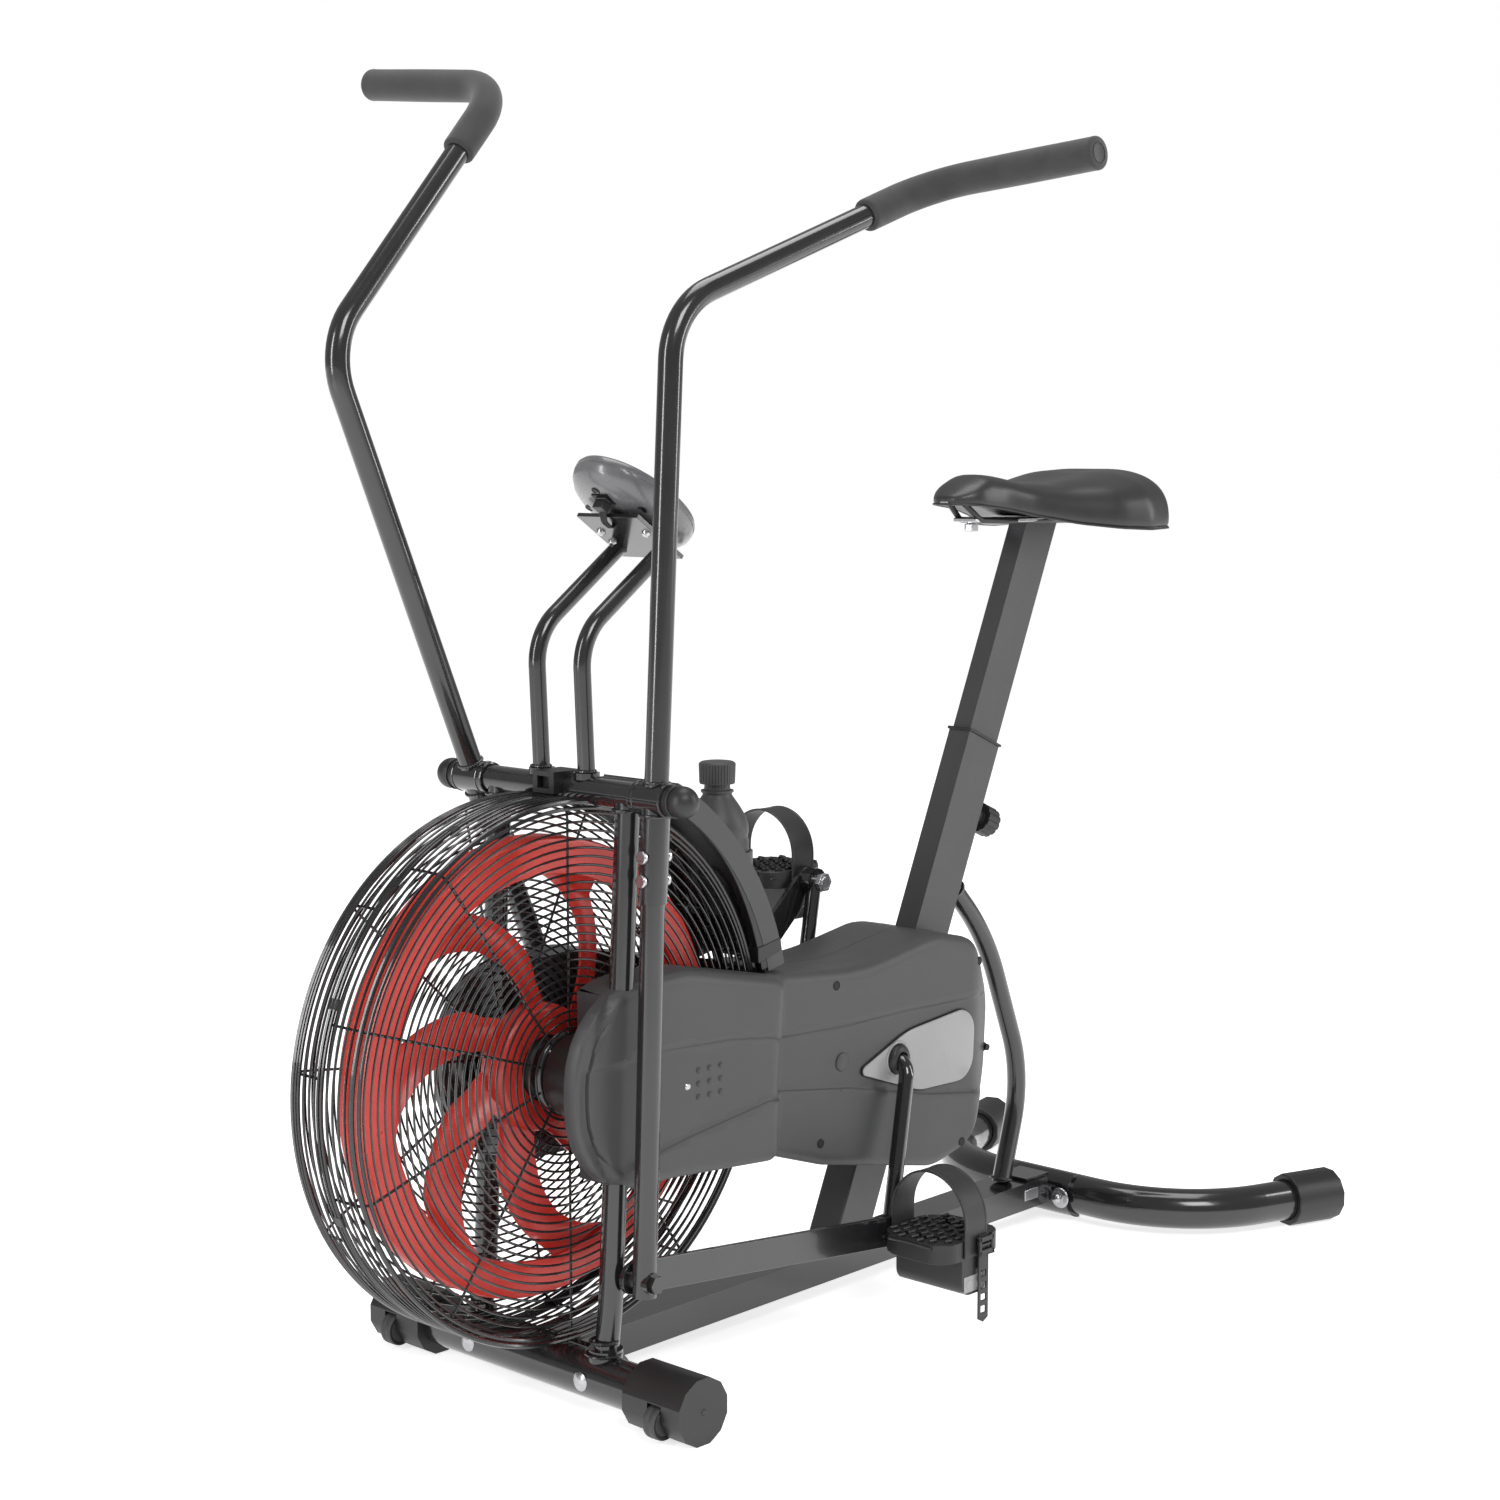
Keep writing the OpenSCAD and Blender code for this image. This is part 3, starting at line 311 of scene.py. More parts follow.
def block(acc, lo, hi, m=None):
    """Box between two corners, moved by m."""
    ends = (lo, hi)
    c = [Vector((ends[i & 1][0], ends[i >> 1 & 1][1], ends[i >> 2][2])) for i in range(8)]
    if m:
        c = [m @ p for p in c]
    return acc.add(c, [(0, 2, 3, 1), (4, 5, 7, 6), (0, 1, 5, 4), (2, 6, 7, 3), (0, 4, 6, 2), (1, 3, 7, 5)])


def bent(pts, radii, step=5.0):
    """Points along a polyline whose inner corners are rounded."""
    pts = [Vector(p) for p in pts]
    out = [pts[0]]
    for i, r in enumerate(radii, 1):
        a, b, c = pts[i - 1], pts[i], pts[i + 1]
        u, v = (b - a).normalized(), (c - b).normalized()
        t = u.angle(v)
        cut = r * math.tan(t / 2)
        n = max(4, int(r * t / step))
        mid = b + (v - u).normalized() * (r / math.cos(t / 2))
        s = b - u * cut - mid
        ax = u.cross(v).normalized()
        out += [mid + Matrix.Rotation(t * k / n, 3, ax) @ s for k in range(n + 1)]
    return out + [pts[-1]]


def rounded(p, steps=7):
    """Outline whose corners (x, z, radius) are rounded."""
    out = []
    n = len(p)
    for i in range(n):
        a, b, c = (np.array(p[(i + k) % n][:2], float) for k in (-1, 0, 1))
        r = p[i][2]
        u, v = (a - b) / np.linalg.norm(a - b), (c - b) / np.linalg.norm(c - b)
        half = math.acos(float(np.dot(u, v))) / 2
        mid = b + (u + v) / np.linalg.norm(u + v) * r / math.sin(half)
        s = b + u * r / math.tan(half) - mid
        way = -1 if u[0] * v[1] - u[1] * v[0] > 0 else 1
        f = math.atan2(s[1], s[0])
        for k in range(steps + 1):
            g = f + way * k / steps * (math.pi - 2 * half)
            out.append(mid + r * np.array([math.cos(g), math.sin(g)]))
    return out


def resample(p, step):
    p = np.array(p)
    q = np.vstack([p, p[:1]])
    s = np.concatenate([[0], np.cumsum(np.linalg.norm(np.diff(q, axis=0), axis=1))])
    n = int(s[-1] / step)
    t = np.arange(n) * s[-1] / n
    return np.stack([np.interp(t, s, q[:, 0]), np.interp(t, s, q[:, 1])], 1)


def smooth(t):
    t = min(1.0, max(0.0, t))
    return t * t * (3 - 2 * t)


# ---------- linkage at rest ----------
PIVOT, CRANK, CRANK_R, LEAD, ROD = (34.0, PIVOT_H), (434.0, 246.0), 166.0, 17.0, 370.0
ARM_FOOT = (5.6, -433.0)


def crank_pin(side):
    return CRANK[0] + side * CRANK_R * math.sin(rad(LEAD)), CRANK[1] + side * CRANK_R * math.cos(rad(LEAD))


def arm_foot(side):
    a, b, ra = Vector(PIVOT), Vector(crank_pin(side)), math.hypot(*ARM_FOOT)
    d = (b - a).length
    u = (b - a) / d
    t = (ra * ra - ROD * ROD + d * d) / (2 * d)
    h = math.sqrt(ra * ra - t * t)
    return a + u * t + h * Vector((u[1], -u[0])) * (1 if u[1] < 0 else -1)


def at_arm(side):
    v = arm_foot(side) - Vector(PIVOT)
    a = math.atan2(v[0], v[1]) - math.atan2(*ARM_FOOT)
    return Matrix.Translation((PIVOT[0], 0, PIVOT[1])) @ Matrix.Rotation(a, 4, "Y")


TILT = rad(23.5)


def seat_x(z):
    return 424 + (z - 74) * math.tan(TILT)


def on_seat(z):
    return Matrix.Translation((seat_x(z), 0, z)) @ Matrix.Rotation(TILT, 4, "Y")


# ---------- cage ----------
def cage(side, body_name):
    a = Acc()
    first_ring, pitch = 42, 7.76
    centre = lambda y: (0, side * y, FAN_H)
    for k in range(26):
        ring(a, centre(CAGE_FACE), first_ring + k * pitch, 1.15, seg=120, sec=6)
    if side == LEFT:
        edge = [(240.6, 44.2, 1.9), (246.4, 41.6, 2.5)]
        drum = [34, 26, 18, 10]
    else:
        edge = [(240, 44.2, 1.5), (243.6, 42.4, 1.5), (246, 39.6, 1.6), (247.1, 36.4, 1.6), (247.2, 33, 1.6),
                (247.2, 29.4, 1.6)]
        drum = [22, 14, 7]
    for r, y, w in edge:
        ring(a, centre(y), r, w, seg=160, sec=8)
    for y in drum:
        ring(a, centre(y), CAGE_RIM, 1.3, seg=160, sec=6)
    ring(a, centre(2.2), 247.2, 1.7, seg=160, sec=8)
    for k in range(10):
        g = rad(36 * (k + 0.5) + (0 if side == LEFT else 11))
        d = Vector((math.cos(g), 0, math.sin(g)))
        path = [(34, 42.7), (140, 42.7), (232, 42.7), (240, 41.4), (244.4, 36), (245, 20), (245, 2.2)]
        sweep(a, [Vector(centre(y)) + d * r for r, y in path], 1.35, seg=6)
    cage_o = make(a, body_name, "cage_wire", "frame", fix=False)
    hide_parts("left_cage" if side == LEFT else "right_cage")
    b = Acc()
    plate = [(28.5, 41.4), (29, 44.4), (33, 45.2), (36, 44.6), (38.5, 42.6), (38.5, 41), (35, 40.4),
             (28.5, 40)]
    lathe(b, plate, FAN, (0, side, 0), 72, closed=True)
    bolt_circle = 33.5
    for k in range(4):
        g = rad(45 + 90 * k)
        at = (bolt_circle * math.cos(g), 0, FAN_H + bolt_circle * math.sin(g))
        lathe(b, [(0, 46), (2, 45.9), (3, 44.9), (3, 42)], at, (0, side, 0), 16)
    make(b, body_name + "_middle_plate", "gloss_black", "frame", fix=False)
    if side == LEFT:
        clip = Acc()
        for k in range(8):
            m = Matrix.Translation(FAN) @ Matrix.Rotation(rad(22 + 45 * k), 4, "Y")
            block(clip, (243.6, -5, -5), (248.8, 5, 5), m)
        make(clip, "cage_rim_clips", "black_plastic", "frame", bevel=0.8)


cage(LEFT, "left_cage_wires")
cage(RIGHT, "right_cage_wires")


# ---------- fan wheel ----------
def fan_wheel():
    """Red ring with seven leaning blades that flare into it."""
    a = Acc()
    blades, first_blade = 7, 14
    root, reach = 44, 137
    prof = [(177, -9), (178, -12), (181, -12.9), (205, -12.9), (209.5, -12), (211, -9), (211, 21.5),
            (208, 22), (207.5, -6), (204, -9), (181, -9), (179.5, -8)]
    lathe(a, prof, FAN, (0, 1, 0), 144, closed=True)
    nu, nr = 9, 26
    for k in range(blades):
        base = rad(first_blade + 360 / blades * k)
        grids = []
        for face in (0, 1):
            g = []
            for i in range(nr + 1):
                t = i / nr
                r = root + reach * t
                lean = rad(np.interp(r, [45, 76, 100, 140, 160, 181], [30, 18, 13, 0, -8, -17]))
                half = np.interp(r, [45, 76, 100, 140, 165, 174, 181], [16, 15, 19, 21, 26, 31, 38])
                row = []
                for j in range(nu + 1):
                    u = 2 * j / nu - 1
                    ang = base + lean + half * u / r
                    arch = 6.5 * (1 - abs(u) ** 2.4) * math.sin(math.pi * min(1, t)) ** 0.5
                    y = 2 + 8.5 * u * (1 - 0.35 * t) + arch
                    y += (-8 - y) * smooth((t - 0.86) / 0.14) * 0.9 + (1.3 if face else -1.3)
                    row.append((-r * math.cos(ang), y, FAN_H + r * math.sin(ang)))
                g.append(row)
            grids.append(g)
        v = [p for g in grids for row in g for p in row]
        m, half_n = nu + 1, (nr + 1) * (nu + 1)
        f = []
        for i in range(nr):
            for j in range(nu):
                q = (i * m + j, i * m + j + 1, (i + 1) * m + j + 1, (i + 1) * m + j)
                f += [q, tuple(x + half_n for x in q[::-1])]
            for j in (0, nu):
                q = (i * m + j, (i + 1) * m + j, (i + 1) * m + j + half_n, i * m + j + half_n)
                f.append(q if j == 0 else q[::-1])
        for i in (0, nr):
            for j in range(nu):
                q = (i * m + j, i * m + j + half_n, i * m + j + 1 + half_n, i * m + j + 1)
                f.append(q if i == 0 else q[::-1])
        a.add(v, f)
    # root collar the blades grow from
    collar = [(30.4, -11), (31, -13.6), (34, -14.4), (50, -13), (56, -11), (58.5, -6), (58.5, 10), (55, 15),
              (47, 16), (30.4, 16)]
    lathe(a, collar, FAN, (0, 1, 0), 90)
    o = make(a, "fan_wheel_moulding", "red_plastic", "fan", angle=50)
    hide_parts("fan_wheel")


fan_wheel()
hub = [(8.5, -29), (9, -30), (22, -29), (24, -27), (24, -17), (26, -14.5), (30, -13.5), (30, 20), (28, 24),
       (24, 28), (14, 29)]
make(lathe(Acc(), hub, FAN, (0, 1, 0), 72), "fan_hub_front", "black_plastic", "fan", fix=False)


# ---------- housing ----------
SIDE_LINE = [(-43, 386, 84), (100, 391, 90), (250, 359, 120), (385, 347, 300), (500, 366, 90), (566, 352, 50),
             (612, 285, 60), (604, 205, 70), (566, 135, 60), (500, 119, 60), (330, 154, 60), (226, 188, 30),
             (80, 199, 60), (-43, 199, 84)]
UPPER = ([-24, 60, 150, 205, 262, 360, 450, 575, 612], [318, 322, 318, 311, 296, 292, 293, 290, 288])
LOWER = ([-24, 20, 98, 205, 262, 362, 484, 600, 612], [214, 222, 236, 250, 243, 228, 200, 182, 181])
SEAM = 0.2


def nose(x):
    """1 at the thin front of the housing, 0 behind it."""
    return smooth((12 - x) / 34)


def half_width(x, z, d):
    """Distance of the skin from the middle plane, at depth d inside the outline."""
    fold = smooth((x - 214 - (z - 290) * 0.06) / 48)
    n = nose(x) * (1 - fold)
    top = 100 + (62 - 100) * fold
    top -= 20 * smooth((x - 556) / 62)
    a = 11.5 + 12.5 * n + 6 * smooth((x - 540) / 60)
    b = 11.5 - 8.6 * n
    rim = 15.5 * n
    dd = min(1.0, max(0.0, (d - rim) / a))
    y = top - b * (1 - math.sqrt(max(0.0, 1 - (1 - dd) ** 2)))
    y -= n * (1.6 * max(0.0, 1 - d / 1.5) + 2.6 * max(0.0, 1 - abs(d - 15.5) / 1.6))
    below = smooth((np.interp(x, *UPPER) - z) / 1.6 + 0.5)
    inside = below * smooth((z - np.interp(x, *LOWER)) / 1.6 + 0.5)
    return y - 2.2 * inside * smooth((d - 5) / 6)


def housing(side, node):
    line = resample(rounded(SIDE_LINE), 4.0)
    n = len(line)
    t = np.roll(line, -1, 0) - np.roll(line, 1, 0)
    t /= np.linalg.norm(t, axis=1)[:, None]
    inward = np.stack([t[:, 1], -t[:, 0]], 1)
    depths = [0, 0.8, 2, 4.5, 8, 11.5, 13.8, 15.5, 17.2, 19, 22, 26]
    edge = lambda x, z: float(min(60, np.linalg.norm(line - np.array((x, z)), axis=1).min()))
    rings = [line + inward * d for d in depths]
    pts = [tuple(p) for r in rings for p in r]
    dist = [d for d in depths for _ in range(n)]
    last = rings[-1]

    def inside(p):
        x, z = p
        c = False
        for i in range(n):
            a, b = last[i], last[i - 1]
            if (a[1] > z) != (b[1] > z) and x < (b[0] - a[0]) * (z - a[1]) / (b[1] - a[1]) + a[0]:
                c = not c
        return c

    cand = [(x, z) for x in np.arange(-43, 612, 6.0) for z in np.arange(119, 391, 6.0)]
    for curve in (UPPER, LOWER):
        cand = [p for p in cand if abs(p[1] - np.interp(p[0], *curve)) > 3]
    for curve in (UPPER, LOWER):
        cand += [(x, np.interp(x, *curve) + o) for x in np.arange(-41, 612, 5.0) for o in (-1.0, 0.0, 1.0)]
    seg = np.array([np.linalg.norm(last - np.array(p), axis=1).min() for p in cand])
    grid = [p for p, s in zip(cand, seg) if s > 1.6 and inside(p)]
    start = len(pts) - n
    flat = [Vector(p) for p in pts[start:]] + [Vector(p) for p in grid]
    cdt = geometry.delaunay_2d_cdt(flat, [(i, (i + 1) % n) for i in range(n)], [], 1, 1e-5)
    vv, _, tri, orig = cdt[0], cdt[1], cdt[2], cdt[3]
    a = Acc()
    verts = [(x, -half_width(x, z, d), z) for (x, z), d in zip(pts, dist)]
    back = {}
    for i, p in enumerate(vv):
        o = orig[i]
        if o and o[0] < n:
            back[i] = start + o[0]
        else:
            back[i] = len(verts)
            verts.append((p[0], -half_width(p[0], p[1], edge(p[0], p[1])), p[1]))
    faces = [tuple(back[i] for i in f) for f in tri if len({back[i] for i in f}) == 3]
    m = len(depths)
    faces += [(r * n + i, r * n + (i + 1) % n, (r + 1) * n + (i + 1) % n, (r + 1) * n + i)
              for r in range(m - 1) for i in range(n)]
    # side wall, from the skin to the middle seam or to the cage
    drum = 257
    wall, tip_wall = 50.5, 82
    near = lambda x, z: math.hypot(x, z - FAN_H) < drum
    inner = len(verts)
    for i in range(n):
        x, z = line[i]
        verts.append((x, -tip_wall if x < 5 else -wall if near(x, z) else -SEAM, z))
    faces += [(i, (i + 1) % n, inner + (i + 1) % n, inner + i) for i in range(n)]
    a.add(verts, faces)
    # inner wall beside the cage
    cut = [p for p in line if near(*p)]
    turn = np.radians(np.linspace(13.5, -26, 24))
    arc = [(drum * math.cos(g), FAN_H + drum * math.sin(g)) for g in turn]
    gap = max(range(len(cut)), key=lambda i: math.dist(cut[i], cut[i - 1]))
    loop = [cut[(gap + i) % len(cut)] for i in range(len(cut))]
    if math.dist(loop[-1], arc[0]) > math.dist(loop[0], arc[0]):
        arc = arc[::-1]
    # the nose is only a thin shell, open towards the cage
    loop = [tuple(p) for p in loop]
    tip = [i for i, p in enumerate(loop) if p[0] < 5]
    i0, i1 = tip[0], tip[-1]
    a.add([(x, -tip_wall, z) for x, z in loop[i0:i1 + 1]], [tuple(range(i1 - i0 + 1))])
    poly = loop[:i0 + 1] + loop[i1:] + arc
    a.add([(x, -wall, z) for x, z in poly], [tuple(range(len(poly)))])
    ends = [loop[i0], loop[i1]]
    a.add([(x, y, z) for y in (-tip_wall, -wall) for x, z in ends], [(0, 1, 3, 2)])
    k = len(arc)
    a.add([(x, -wall, z) for x, z in arc] + [(x, -SEAM, z) for x, z in arc],
          [(i, i + 1, k + i + 1, k + i) for i in range(k - 1)])
    at = Matrix.Diagonal((1, -side, 1, 1))
    o = make(a, node + "_shell", "grey_plastic", "frame", at=at, angle=50)
    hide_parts(node)
    b = Acc()
    lathe(b, [(0, 2.2), (7, 2.1), (9, 1.2), (9.6, 0), (9.6, -2)], (352, -59.9, 256), (0, -1, 0), 40)
    for i in range(3):
        for j in range(3):
            x, z = 110 + 14.5 * i, 296 - 12.5 * j
            lathe(b, [(0, 1.9), (1.4, 1.7), (2.5, 0.8), (2.9, 0), (2.9, -1)], (x, -97.7, z), (0, -1, 0), 14)
    make(b, node + "_plugs", "grey_plastic", "frame", at=at, fix=False)
    s = Acc()
    lathe(s, [(0, 1.2), (2.4, 1.0), (3.4, 0), (3.4, -1)], (96, -97.9, 283), (0, -1, 0), 20)
    make(s, node + "_silver_screw", "zinc", "frame", at=at, fix=False)
    rim = Acc()
    for x, z in ((341, 335), (569, 327), (599, 228), (540, 139), (318, 180)):
        y = half_width(x, z, edge(x, z))
        ring(rim, (x, -y - 0.1, z), 4.3, 0.55, seg=24, sec=6)
        lathe(rim, [(0, 0.15), (3.9, 0.15), (4.1, -0.6)], (x, -y, z), (0, -1, 0), 24)
    make(rim, node + "_screw_wells", "dark_screw", "frame", at=at, fix=False)
    ax = Acc()
    boss_r = 38
    foot = 48 if side == LEFT else 61.5
    lip = 50 if side == LEFT else 63
    lathe(ax, [(0, foot), (boss_r - 1, foot), (boss_r, lip), (boss_r, 83), (0, 83)], FAN, (0, -1, 0), 48)
    make(ax, node + "_axle_boss", "black_plastic", "frame", at=at, fix=False)


housing(LEFT, "left_housing")
housing(RIGHT, "right_housing")


# ---------- bike badges, without marks ----------
def badges():
    line = [(372, 241, 5), (450, 272, 120), (560, 283, 24), (556, 205, 26), (470, 207, 60)]
    out = resample(rounded(line, 8), 2.5)
    c = out.mean(0)
    a = Acc()
    rim = Acc()
    for side in (LEFT, RIGHT):
        n = len(out)
        inn = c + (out - c) * 0.975
        y0, y1, y2 = side * 60.8, side * 62.5, side * 63.1
        v = [(x, y0, z) for x, z in out] + [(x, y1, z) for x, z in out] + [(x, y2, z) for x, z in inn]
        f = [(i, (i + 1) % n, n + (i + 1) % n, n + i) for i in range(n)]
        f += [(n + i, n + (i + 1) % n, 2 * n + (i + 1) % n, 2 * n + i) for i in range(n)]
        f.append(tuple(range(2 * n, 3 * n)))
        a.add(v, f)
        sweep(rim, [(x, side * 61.0, z) for x, z in c + (out - c) * 1.008], 0.9, seg=6, closed=True)
        ring(a, (CRANK[0], side * 62.9, CRANK[1]), 17, 1.6, seg=40)
    o = make(a, "crank_badge_plates", "silver_badge", "frame", angle=30)
    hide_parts("crank_badges")
    make(rim, "crank_badge_shadow_gap", "dark_screw", "frame", fix=False)
    boot = Acc()
    for side in (LEFT, RIGHT):
        cone = [(8.2, 70), (12, 69.5), (14, 67.5), (15.3, 63.5), (15.3, 60)]
        lathe(boot, cone, (CRANK[0], 0, CRANK[1]), (0, side, 0), 40)
    make(boot, "crank_boots", "black_plastic", "frame", fix=False)


badges()


# ---------- grips ----------
def handle_path(side):
    y = side * ARM_Y
    return [(0, y, 11), (0, y, 429), (309, side * 148, 568), (314, side * 333, 585)]


def grips(side, name):
    p = [Vector(q) for q in handle_path(side)]
    start = p[2] + (p[1] - p[2]).normalized() * 90
    finish = p[3] + (p[3] - p[2]).normalized() * 5
    pts = bent([start, p[2], finish], [55], 3.0)
    fine = []
    for i in range(len(pts) - 1):
        n = max(1, int((pts[i + 1] - pts[i]).length / 6))
        fine += [pts[i].lerp(pts[i + 1], k / n) for k in range(n)]
    fine.append(pts[-1])
    run = [0]
    for i in range(1, len(fine)):
        run.append(run[-1] + (fine[i] - fine[i - 1]).length)
    total = run[-1]
    dip = lambda s: 2.6 * (1 - min(1, s / 3.5)) ** 2
    r = [15.35 + 0.12 * math.sin(s / 23) - dip(s) - dip(total - s) for s in run]
    first = [fine[0] + (fine[1] - fine[0]).normalized() * k for k in (0, 0.5, 1.4, 2.6, 4)]
    tail = [fine[-1] - (fine[-1] - fine[-2]).normalized() * k for k in (4, 2.6, 1.4, 0.5, 0)]
    path = first + fine[1:-1] + tail
    rr = [13.4, 14.5, 15.1, 15.35, 15.4] + r[1:-1] + [15.4, 15.35, 15.1, 14.5, 13.4]
    a = Acc()
    sweep(a, path, rr, seg=36)
    side_name = "left" if side == LEFT else "right"
    at = at_arm(side)
    o = make(a, side_name + "_foam_grip", "foam", name, at=at)
    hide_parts(side_name + "_grip")
    e = Acc()
    w = (p[3] - p[2]).normalized()
    lathe(e, [(0, 0.6), (8, 0.5), (10.6, 0), (11.6, -1), (11.6, -2)], finish - w * 0.4, w, 32)
    ring(e, finish, 9.2, 0.5, w=w, seg=32)
    make(e, side_name + "_grip_plug", "black_plastic", name, at=at, fix=False)
    b = Acc()
    y = side * ARM_Y
    beads = [((0, y, 14.6), (0, 0, 1), 11.3), ((0, y, -14.6), (0, 0, 1), 13.4)]
    for c, ax, r0 in beads:
        scallop(b, c, ax, r0, 1.6)
    make(b, side_name + "_arm_weld", "gloss_black", name, at=at)
    c = Acc()
    for yy in (104.5, 137.6):
        ring(c, (0, side * yy, 0), 14.9, 0.8, seg=48)
    make(c, side_name + "_sleeve_rims", "gloss_black", name, at=at, fix=False)


def scallop(acc, c, w, big, small, n=26):
    """Weld bead: a ring with small overlapping ripples."""
    w = Vector(w).normalized()
    u = w.orthogonal().normalized()
    q = w.cross(u)
    seg = n * 4
    pts, rr = [], []
    for k in range(seg):
        g = 2 * math.pi * k / seg
        pts.append(Vector(c) + (u * math.cos(g) + q * math.sin(g)) * big)
        rr.append(small * (0.8 + 0.28 * abs(math.sin(g * n / 2)) + 0.06 * math.sin(5 * g)))
    return sweep(acc, pts, rr, seg=8, closed=True)


grips(LEFT, "left_handle")
grips(RIGHT, "right_handle")

beads = Acc()
for side in (LEFT, RIGHT):
    y = side * 85.5
    scallop(beads, (32.6, y, 543.5), (-0.04, 0, 1), 11.8, 1.7)
    scallop(beads, (0.6, y, 64.4), (0, 0, 1), 12.2, 1.8)
    scallop(beads, (0, side * 85.5, 53.5), (0, 0, 1), 16.2, 1.5)
    scallop(beads, (35, side * 30, 573.2), (0, 0, 1), 8.6, 1.6, 18)
    ring(beads, (34, side * 98.6, 556), 13.6, 1.5, seg=48)
scallop(beads, (687, 0, 57.5), (0.25, 0, 1), 11.0, 1.7)
scallop(beads, (600, 0, 392), (-0.69, 0, 0.72), 11.2, 1.7)
make(beads, "frame_weld_beads", "gloss_black", "frame")


# ---------- saddle ----------
def saddle():
    xs = [576, 600, 640, 680, 720, 760, 800, 840, 866]
    ws = [26, 32, 37, 49, 73, 99, 110, 107, 92]
    hs = [30, 35, 37, 38, 45, 56, 65, 66, 58]
    zb = [802, 801, 796, 788, 780, 775, 773, 774, 777]
    s = np.linspace(0, 1, 40)
    us = (1 - np.cos(np.pi * s)) / 2
    us = 0.6 * us + 0.4 * s
    n_arc = 26
    rows = []
    for u in us:
        x = 578 + 286 * u
        w, hgt, base = (np.interp(x, xs, c) for c in (ws, hs, zb))
        e1 = (1 - (1 - min(1, (x - 576) / 34)) ** 2.2) ** 0.5
        e2 = (1 - (1 - min(1, (866 - x) / 40)) ** 2.6) ** 0.42
        f1 = min(1, (x - 576) / 44) ** 0.8
        f2 = (1 - (1 - min(1, (866 - x) / 34)) ** 2.6) ** 0.42
        w *= max(0.10, e1) * max(0.14, e2)
        hgt = 7 + (hgt - 7) * max(0.02, f1 * f2)
        row = []
        for k in range(n_arc + 1):
            a = math.pi * k / n_arc
            cs, sn = math.cos(a), math.sin(a)
            y = w * math.copysign(abs(cs) ** 0.72, cs)
            z = base + 5 + (hgt - 5) * abs(sn) ** 0.72
            z -= 4.0 * math.exp(-(y / 24) ** 2) * smooth((x - 690) / 60) * smooth((850 - x) / 40)
            row.append((x, y, z))
        well = base + 4 + (max(base + 4, 788.5) - base - 4) * smooth((x - 618) / 10) * smooth((820 - x) / 10)
        in_w = min(0.88 * w, max(29, 0.5 * w))
        row += [(x, -w * 0.965, base + 1.2), (x, -w * 0.9, base), (x, -in_w, well), (x, 0, well),
                (x, in_w, well), (x, w * 0.9, base), (x, w * 0.965, base + 1.2)]
        rows.append(row)
    m = len(rows[0])
    v = [p for r in rows for p in r]
    f = [(i * m + k, i * m + (k + 1) % m, (i + 1) * m + (k + 1) % m, (i + 1) * m + k)
         for i in range(len(rows) - 1) for k in range(m)]
    f += [tuple(range(m))[::-1], tuple((len(rows) - 1) * m + k for k in range(m))]
    a = Acc().add(v, f)
    o = make(a, "saddle_cover", "vinyl", "seat", sub=1, angle=180)
    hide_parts("seat_cushion")
    # welt round the bottom edge
    left = [(r[0][0], r[n_arc][1] * 0.985, r[n_arc][2] - 3.6) for r in rows]
    right = [(r[0][0], r[0][1] * 0.985, r[0][2] - 3.6) for r in rows][::-1]
    wb = Acc()
    sweep(wb, left + right, 1.3, seg=6, closed=True)
    make(wb, "saddle_welt", "black_plastic", "seat", fix=False)
    # pan, rails and clamp under the nose
    pan = Acc()
    for sd in (LEFT, RIGHT):
        rail = [(600, sd * 10, 803), (622, sd * 14, 786), (668, sd * 18, 784.6), (760, sd * 20, 784)]
        sweep(pan, bent(rail, [14, 30]), 3.2, seg=12)
    make(pan, "saddle_rails", "black_plastic", "seat")
    z = Acc()
    block(z, (612, -15, 784), (640, 15, 788))
    lathe(z, [(0, 0), (8, 0), (8, 8), (5, 8), (5, 12), (0, 12)], (624, 0, 774), (0, 0, 1), 6)
    make(z, "saddle_front_clamp", "zinc", "seat", bevel=0.8)


saddle()


# ---------- bottle ----------
def bottle():
    x, y, base, cap_base = 263, 26, 414, 536
    wall = [(0, 0), (27, 0), (30, 1.5), (31, 5), (31, 66), (30.2, 68), (30.2, 72), (31, 74), (30.6, 82),
            (28, 90), (22, 100), (16.4, 108), (14.5, 111), (14.5, 113), (16.2, 113.6), (16.2, 115.6),
            (13, 116.4), (12.5, 122), (0, 122)]
    o = make(lathe(Acc(), wall, (x, y, base), (0, 0, 1), 64), "drink_bottle", "grey_plastic", "bottle_body",
             fix=False, angle=50)
    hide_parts("bottle")
    # screw cap: rows of (height, radius, depth of the ribs)
    rows = ((0, 16.9, 0.7), (2, 17.3, 0.7), (19.5, 17.9, 0.7), (20.6, 17.2, 0.2), (21.6, 16, 0),
            (22, 13.5, 0), (22, 0.01, 0))
    seg = 144
    v = []
    for up, r0, rib in rows:
        for k in range(seg):
            g = 2 * math.pi * k / seg
            r = r0 + rib * (0.5 if (k % 4) in (0, 1) else -0.5)
            v.append((x + r * math.cos(g), y + r * math.sin(g), cap_base + up))
    f = [(i * seg + k, i * seg + (k + 1) % seg, (i + 1) * seg + (k + 1) % seg, (i + 1) * seg + k)
         for i in range(len(rows) - 1) for k in range(seg)]
    f.append(tuple(range(seg))[::-1])
    o = make(Acc().add(v, f), "bottle_screw_cap", "grey_plastic", "bottle_lid", angle=30)
    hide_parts("bottle_cap")


bottle()


# ---------- console ----------
CON = Matrix.Translation((127, 0, 814)) @ Matrix.Rotation(rad(34), 4, "Y")
CON_A, CON_B = 68, 53    # half axes of its oval


